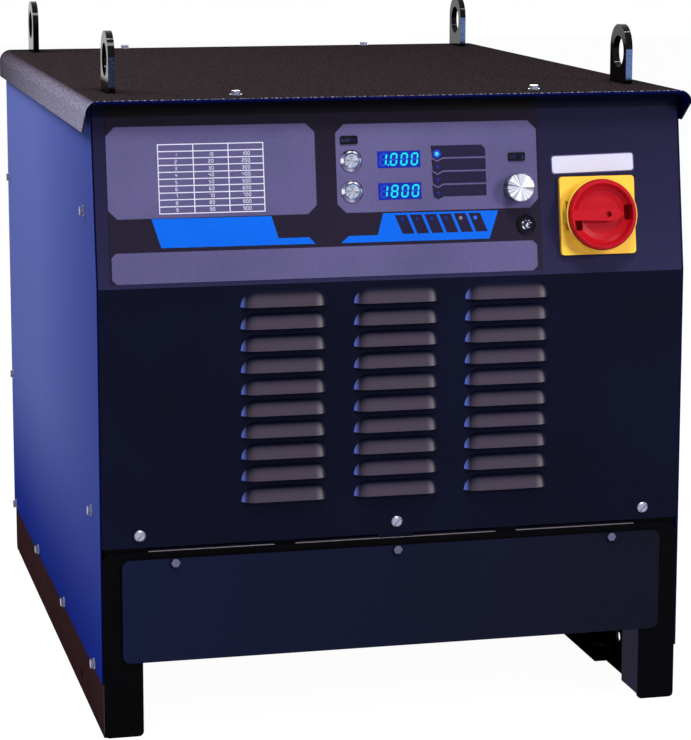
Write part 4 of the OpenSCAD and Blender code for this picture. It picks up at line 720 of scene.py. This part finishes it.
def add_dome(mesh, x, s, radius, low, rise, rings=4, sides=20):
    """A low lens on the control panel."""
    last = None
    for i in range(rings + 1):
        a = math.pi / 2 * i / rings
        r, h = radius * math.cos(a), low + rise * math.sin(a)
        if i == rings:
            tip = mesh.verts.new(on_slope(x, s, h))
            for k in range(sides):
                mesh.faces.new((last[k], last[(k + 1) % sides], tip))
            return
        ring = [mesh.verts.new(on_slope(x + r * math.cos(2 * math.pi * k / sides),
                                        s + r * math.sin(2 * math.pi * k / sides), h)) for k in range(sides)]
        if last:
            for k in range(sides):
                mesh.faces.new((last[k], last[(k + 1) % sides], ring[(k + 1) % sides], ring[k]))
        last = ring


# Indicator lights: four beside the menu, six in the status row; two are lit
STATUS_LIGHT_X = 7.0
STATUS_LIGHT_S = 67.5
LIGHT_R = 2.3
LIGHT_RISE = 0.7
menu_places = [(MENU_LIGHT_X, MENU_LIGHT_TOP - i * MENU_STEP) for i in range(4)]
status_places = [(STATUS_LIGHT_X + i * STATUS_STEP, STATUS_LIGHT_S) for i in range(6)]
light_groups = {
    "menu_light_lit": (menu_places[:1], cyan_light),
    "status_light_lit": (status_places[5:], blue_light),
    "status_light_grey": (status_places[4:5], pale_grey_acrylic),
    "lights_dark": (menu_places[1:] + status_places[:4], dark_blue_acrylic),
}
for name, (places, material) in light_groups.items():
    mesh = bmesh.new()
    for x, s in places:
        add_dome(mesh, x, s, LIGHT_R, FILM, LIGHT_RISE + 2 * INK)
    lens = new_piece(name, mesh, material, "cabinet")
    for face in lens.data.polygons:
        face.use_smooth = True
    if name == "lights_dark":
        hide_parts("indicator_lights")


def add_ring(mesh, x, s, inner, outer, low, high, sides=64):
    """A flat ring on the control panel."""
    loops = []
    for radius, proud in ((inner, low), (inner, high), (outer, high), (outer, low)):
        loops.append([mesh.verts.new(on_slope(x + radius * math.cos(2 * math.pi * k / sides),
                                              s + radius * math.sin(2 * math.pi * k / sides), proud))
                      for k in range(sides)])
    for a in range(4):
        first, second = loops[a], loops[(a + 1) % 4]
        for k in range(sides):
            n = (k + 1) % sides
            mesh.faces.new((first[k], first[n], second[n], second[k]))


# Lit ring in the face of each push button
BEZEL_TALL = 2.6
BUTTON_PROUD = 1.0
BUTTON_FACE = FILM + BEZEL_TALL + BUTTON_PROUD
RING_INNER, RING_OUTER, RING_DEEP, RING_PROUD = 6.7, 7.5, 0.3, 0.08
for key, s in BUTTONS.items():
    mesh = bmesh.new()
    add_ring(mesh, BUTTON_X, s, RING_INNER, RING_OUTER, BUTTON_FACE - RING_DEEP, BUTTON_FACE + RING_PROUD)
    new_piece("button_ring_" + key, mesh, ring_light, "button_" + key)

# Blank label plate above the main switch, stuck on a little askew, on the edge of its laminate
LABEL_MIDDLE = (236.3, 126.0)
LABEL_HALF = (48.9, 9.7)
LABEL_ASKEW = math.radians(1.1)
LABEL_R = 3.0
LAMINATE = 1.2
LAMINATE_R = 3.6
LAMINATE_T = 0.15
LABEL_TOP = 0.35


def label_outline(grown, radius):
    """The label's outline, grown all round and turned about its middle."""
    wide, tall = LABEL_HALF[0] + grown, LABEL_HALF[1] + grown
    turned_points = []
    for u, v in rounded(-wide, -tall, wide, tall, radius):
        turned_points.append((LABEL_MIDDLE[0] + u * math.cos(LABEL_ASKEW) - v * math.sin(LABEL_ASKEW),
                              LABEL_MIDDLE[1] + u * math.sin(LABEL_ASKEW) + v * math.cos(LABEL_ASKEW)))
    return turned_points


print_piece("label_edge", [label_outline(LAMINATE, LAMINATE_R)], 0.0, LAMINATE_T, label_laminate)
print_piece("label_plate", [label_outline(0.0, LABEL_R)], LAMINATE_T, LABEL_TOP, white_vinyl,
            spread=0.1)

# Rubber flap: one flat sheet with round corners; the real one is clamped along its top and bends just below
# the strip
FLAP_W, FLAP_LOW, FLAP_HIGH, FLAP_T, FLAP_R = 638.0, 87.0, 206.0, 3.2, 9.0
FLAP_HINGE = 190.0
FLAP_BACK_GAP = 0.02
FLAP_COLUMNS = 64
# Rows lie 1 mm apart where the real sheet bends, and wider below and above
BEND_LOW, BEND_HIGH, BEND_ROWS = FLAP_HINGE - 11.0, FLAP_HINGE + 1.0, 12
ROWS_BELOW, ROWS_ABOVE, FOOT_GAP = 10, 6, 0.5
flap_rows = [FLAP_LOW + FOOT_GAP + i * (BEND_LOW - FLAP_LOW - FOOT_GAP) / ROWS_BELOW
             for i in range(ROWS_BELOW + 1)]
flap_rows += [BEND_LOW + i for i in range(1, BEND_ROWS + 1)]
flap_rows += [BEND_HIGH + i * (FLAP_HIGH - BEND_HIGH) / ROWS_ABOVE for i in range(1, ROWS_ABOVE + 1)]


def flap_half(z):
    """Half the flap's width at a height, inside its round corners."""
    edge = min(z - FLAP_LOW, FLAP_HIGH - z)
    if edge >= FLAP_R:
        return FLAP_W / 2
    return FLAP_W / 2 - FLAP_R + math.sqrt(max(0.0, FLAP_R ** 2 - (FLAP_R - edge) ** 2))


corner_rows = [FLAP_LOW + FLAP_R * (1 - math.cos(math.radians(a))) for a in range(0, 91, 10)]
corner_rows += [FLAP_HIGH - FLAP_R * (1 - math.cos(math.radians(a))) for a in range(0, 91, 10)]
flap_rows = sorted(set(round(z, 3) for z in flap_rows + corner_rows))
mesh = bmesh.new()
sheets = []
for y in (-FLAP_T, -FLAP_BACK_GAP):
    sheet = []
    for z in flap_rows:
        half = flap_half(z)
        sheet.append([mesh.verts.new(Vector((half * (2 * i / FLAP_COLUMNS - 1), y - MID_Y, z)) * MM)
                      for i in range(FLAP_COLUMNS + 1)])
    sheets.append(sheet)
    for a, b in zip(sheet, sheet[1:]):
        for i in range(FLAP_COLUMNS):
            mesh.faces.new((a[i], a[i + 1], b[i + 1], b[i]))
front, back = sheets
for i in range(FLAP_COLUMNS):
    mesh.faces.new((front[0][i], front[0][i + 1], back[0][i + 1], back[0][i]))
    mesh.faces.new((front[-1][i], front[-1][i + 1], back[-1][i + 1], back[-1][i]))
for a in range(len(flap_rows) - 1):
    for i in (0, FLAP_COLUMNS):
        mesh.faces.new((front[a][i], front[a + 1][i], back[a + 1][i], back[a][i]))
rubber_flap = new_piece("rubber_flap", mesh, rubber_sheet, None)
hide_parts("flap", "flap_strip")
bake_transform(rubber_flap)

# Stage: pale floor, soft lights, and a white background for what the camera and reflections see


def seen(tree):
    """One for camera, glossy and transmission rays, zero for rays that only light the object."""
    path = add(tree, "LightPath").outputs
    first = add(tree, "Math", {0: path["Is Camera Ray"], 1: path["Is Glossy Ray"]}, operation="MAXIMUM")
    both = add(tree, "Math", {0: first.outputs[0], 1: path["Is Transmission Ray"]}, operation="MAXIMUM")
    return both.outputs[0]


world = bpy.data.worlds.new("studio")
bpy.context.scene.world = world
world.use_nodes = True
tree = world.node_tree
ambient = tree.nodes["Background"]
ROOM_LIGHT = (0.86, 0.88, 1.0, 1.0)
ROOM_LEVEL = 0.12
WHITE = (1.0, 1.0, 1.0, 1.0)
ambient.inputs["Color"].default_value = ROOM_LIGHT
ambient.inputs["Strength"].default_value = ROOM_LEVEL
white = add(tree, "Background", {"Color": WHITE, "Strength": 1.0})
shown_world = add(tree, "MixShader", {0: seen(tree), 1: ambient.outputs[0], 2: white.outputs[0]})
tree.links.new(shown_world.outputs[0], tree.nodes["World Output"].inputs["Surface"])

FLOOR_HALF = 12.0
FLOOR_PAINT = (0.8, 0.8, 0.82, 1.0)
FLOOR_GLOW = 1.08
FLOOR_GLOW_SHARE = 0.9
mesh = bmesh.new()
corners = ((-1, -1), (1, -1), (1, 1), (-1, 1))
mesh.faces.new([mesh.verts.new((x * FLOOR_HALF, y * FLOOR_HALF, 0.0)) for x, y in corners])
floor_mesh = bpy.data.meshes.new("floor")
mesh.to_mesh(floor_mesh)
mesh.free()
floor = bpy.data.objects.new("floor", floor_mesh)
bpy.context.scene.collection.objects.link(floor)
floor_paint, tree, shader = finish("floor_paint", Roughness=0.9, Specular_IOR_Level=0.0)[:3]
shader.inputs["Base Color"].default_value = FLOOR_PAINT
glow = add(tree, "Emission", {"Color": WHITE, "Strength": FLOOR_GLOW})
share = add(tree, "Math", {0: seen(tree), 1: FLOOR_GLOW_SHARE}, operation="MULTIPLY")
floor_look = add(tree, "MixShader", {0: share.outputs[0], 1: shader.outputs[0], 2: glow.outputs[0]})
tree.links.new(floor_look.outputs[0], tree.nodes["Material Output"].inputs["Surface"])
floor.data.materials.append(floor_paint)


def softbox(name, place, aim, size, power, colour=(1.0, 1.0, 1.0)):
    """A square area light at a place, aimed at a point; no view shows the lamp itself."""
    data = bpy.data.lights.new(name, "AREA")
    data.shape = "SQUARE"
    data.size = size
    data.energy = power
    data.color = colour
    made = bpy.data.objects.new(name, data)
    bpy.context.scene.collection.objects.link(made)
    made.location = place
    made.rotation_mode = "QUATERNION"
    made.rotation_quaternion = (Vector(aim) - Vector(place)).to_track_quat("-Z", "Y")
    made.visible_camera = False


softbox("left_box", (-1.15, 0.3, 1.75), (-0.34, 0.0, 0.55), 0.8, 22.0)
softbox("right_lamp", (2.4, -3.3, 2.0), (0.0, -0.45, 0.5), 0.9, 70.0)
softbox("high_box", (0.1, -1.9, 3.2), (0.0, -0.4, 0.5), 0.8, 62.0)
softbox("rear_box", (0.9, 2.9, 1.3), (0.05, 0.44, 0.45), 1.0, 36.0)
# Small lamps for the clear highlights on the front edges and round tops of the lifting bars
PALE_BLUE = (0.32, 0.5, 1.0)
softbox("right_edge_lamp", (1.356, -3.291, 0.53), (0.308, -0.347, 0.75), 0.16, 5.0, PALE_BLUE)
softbox("left_edge_lamp", (0.124, -3.291, 0.53), (-0.308, -0.347, 0.75), 0.1, 0.5, PALE_BLUE)
softbox("right_top_lamp", (0.642, -0.39, 1.68), (0.308, -0.34, 0.78), 0.05, 0.6)
softbox("left_top_lamp", (-0.175, -0.4, 1.68), (-0.308, -0.34, 0.78), 0.05, 0.6)

# Camera, fitted to the photograph's frame
IMAGE_W = 691
IMAGE_H = 740
SENSOR_MM = 36.0
FOCAL_PX = 2624.92
PRINCIPAL = (349.41, 306.7)
FORWARD = Vector((0.23088, 0.959389, -0.162072)).normalized()
ROLL = -0.00093
PLACE = Vector((-0.740307, -3.291418, 0.966186))
lens_data = bpy.data.cameras.new("camera")
camera = bpy.data.objects.new("camera", lens_data)
bpy.context.scene.collection.objects.link(camera)
right = FORWARD.cross(Vector((0.0, 0.0, 1.0))).normalized()
upward = right.cross(FORWARD).normalized()
turn = Matrix.Rotation(ROLL, 3, FORWARD)
right, upward = turn @ right, turn @ upward
camera.matrix_world = Matrix((
    (right.x, upward.x, -FORWARD.x, PLACE.x),
    (right.y, upward.y, -FORWARD.y, PLACE.y),
    (right.z, upward.z, -FORWARD.z, PLACE.z),
    (0.0, 0.0, 0.0, 1.0)))
lens_data.sensor_width = SENSOR_MM
lens_data.lens = FOCAL_PX / IMAGE_H * SENSOR_MM
lens_data.shift_x = (IMAGE_W / 2 - PRINCIPAL[0]) / IMAGE_H
lens_data.shift_y = (PRINCIPAL[1] - IMAGE_H / 2) / IMAGE_H
lens_data.clip_end = 100.0
bpy.context.scene.camera = camera
bpy.context.scene.view_settings.view_transform = "Standard"
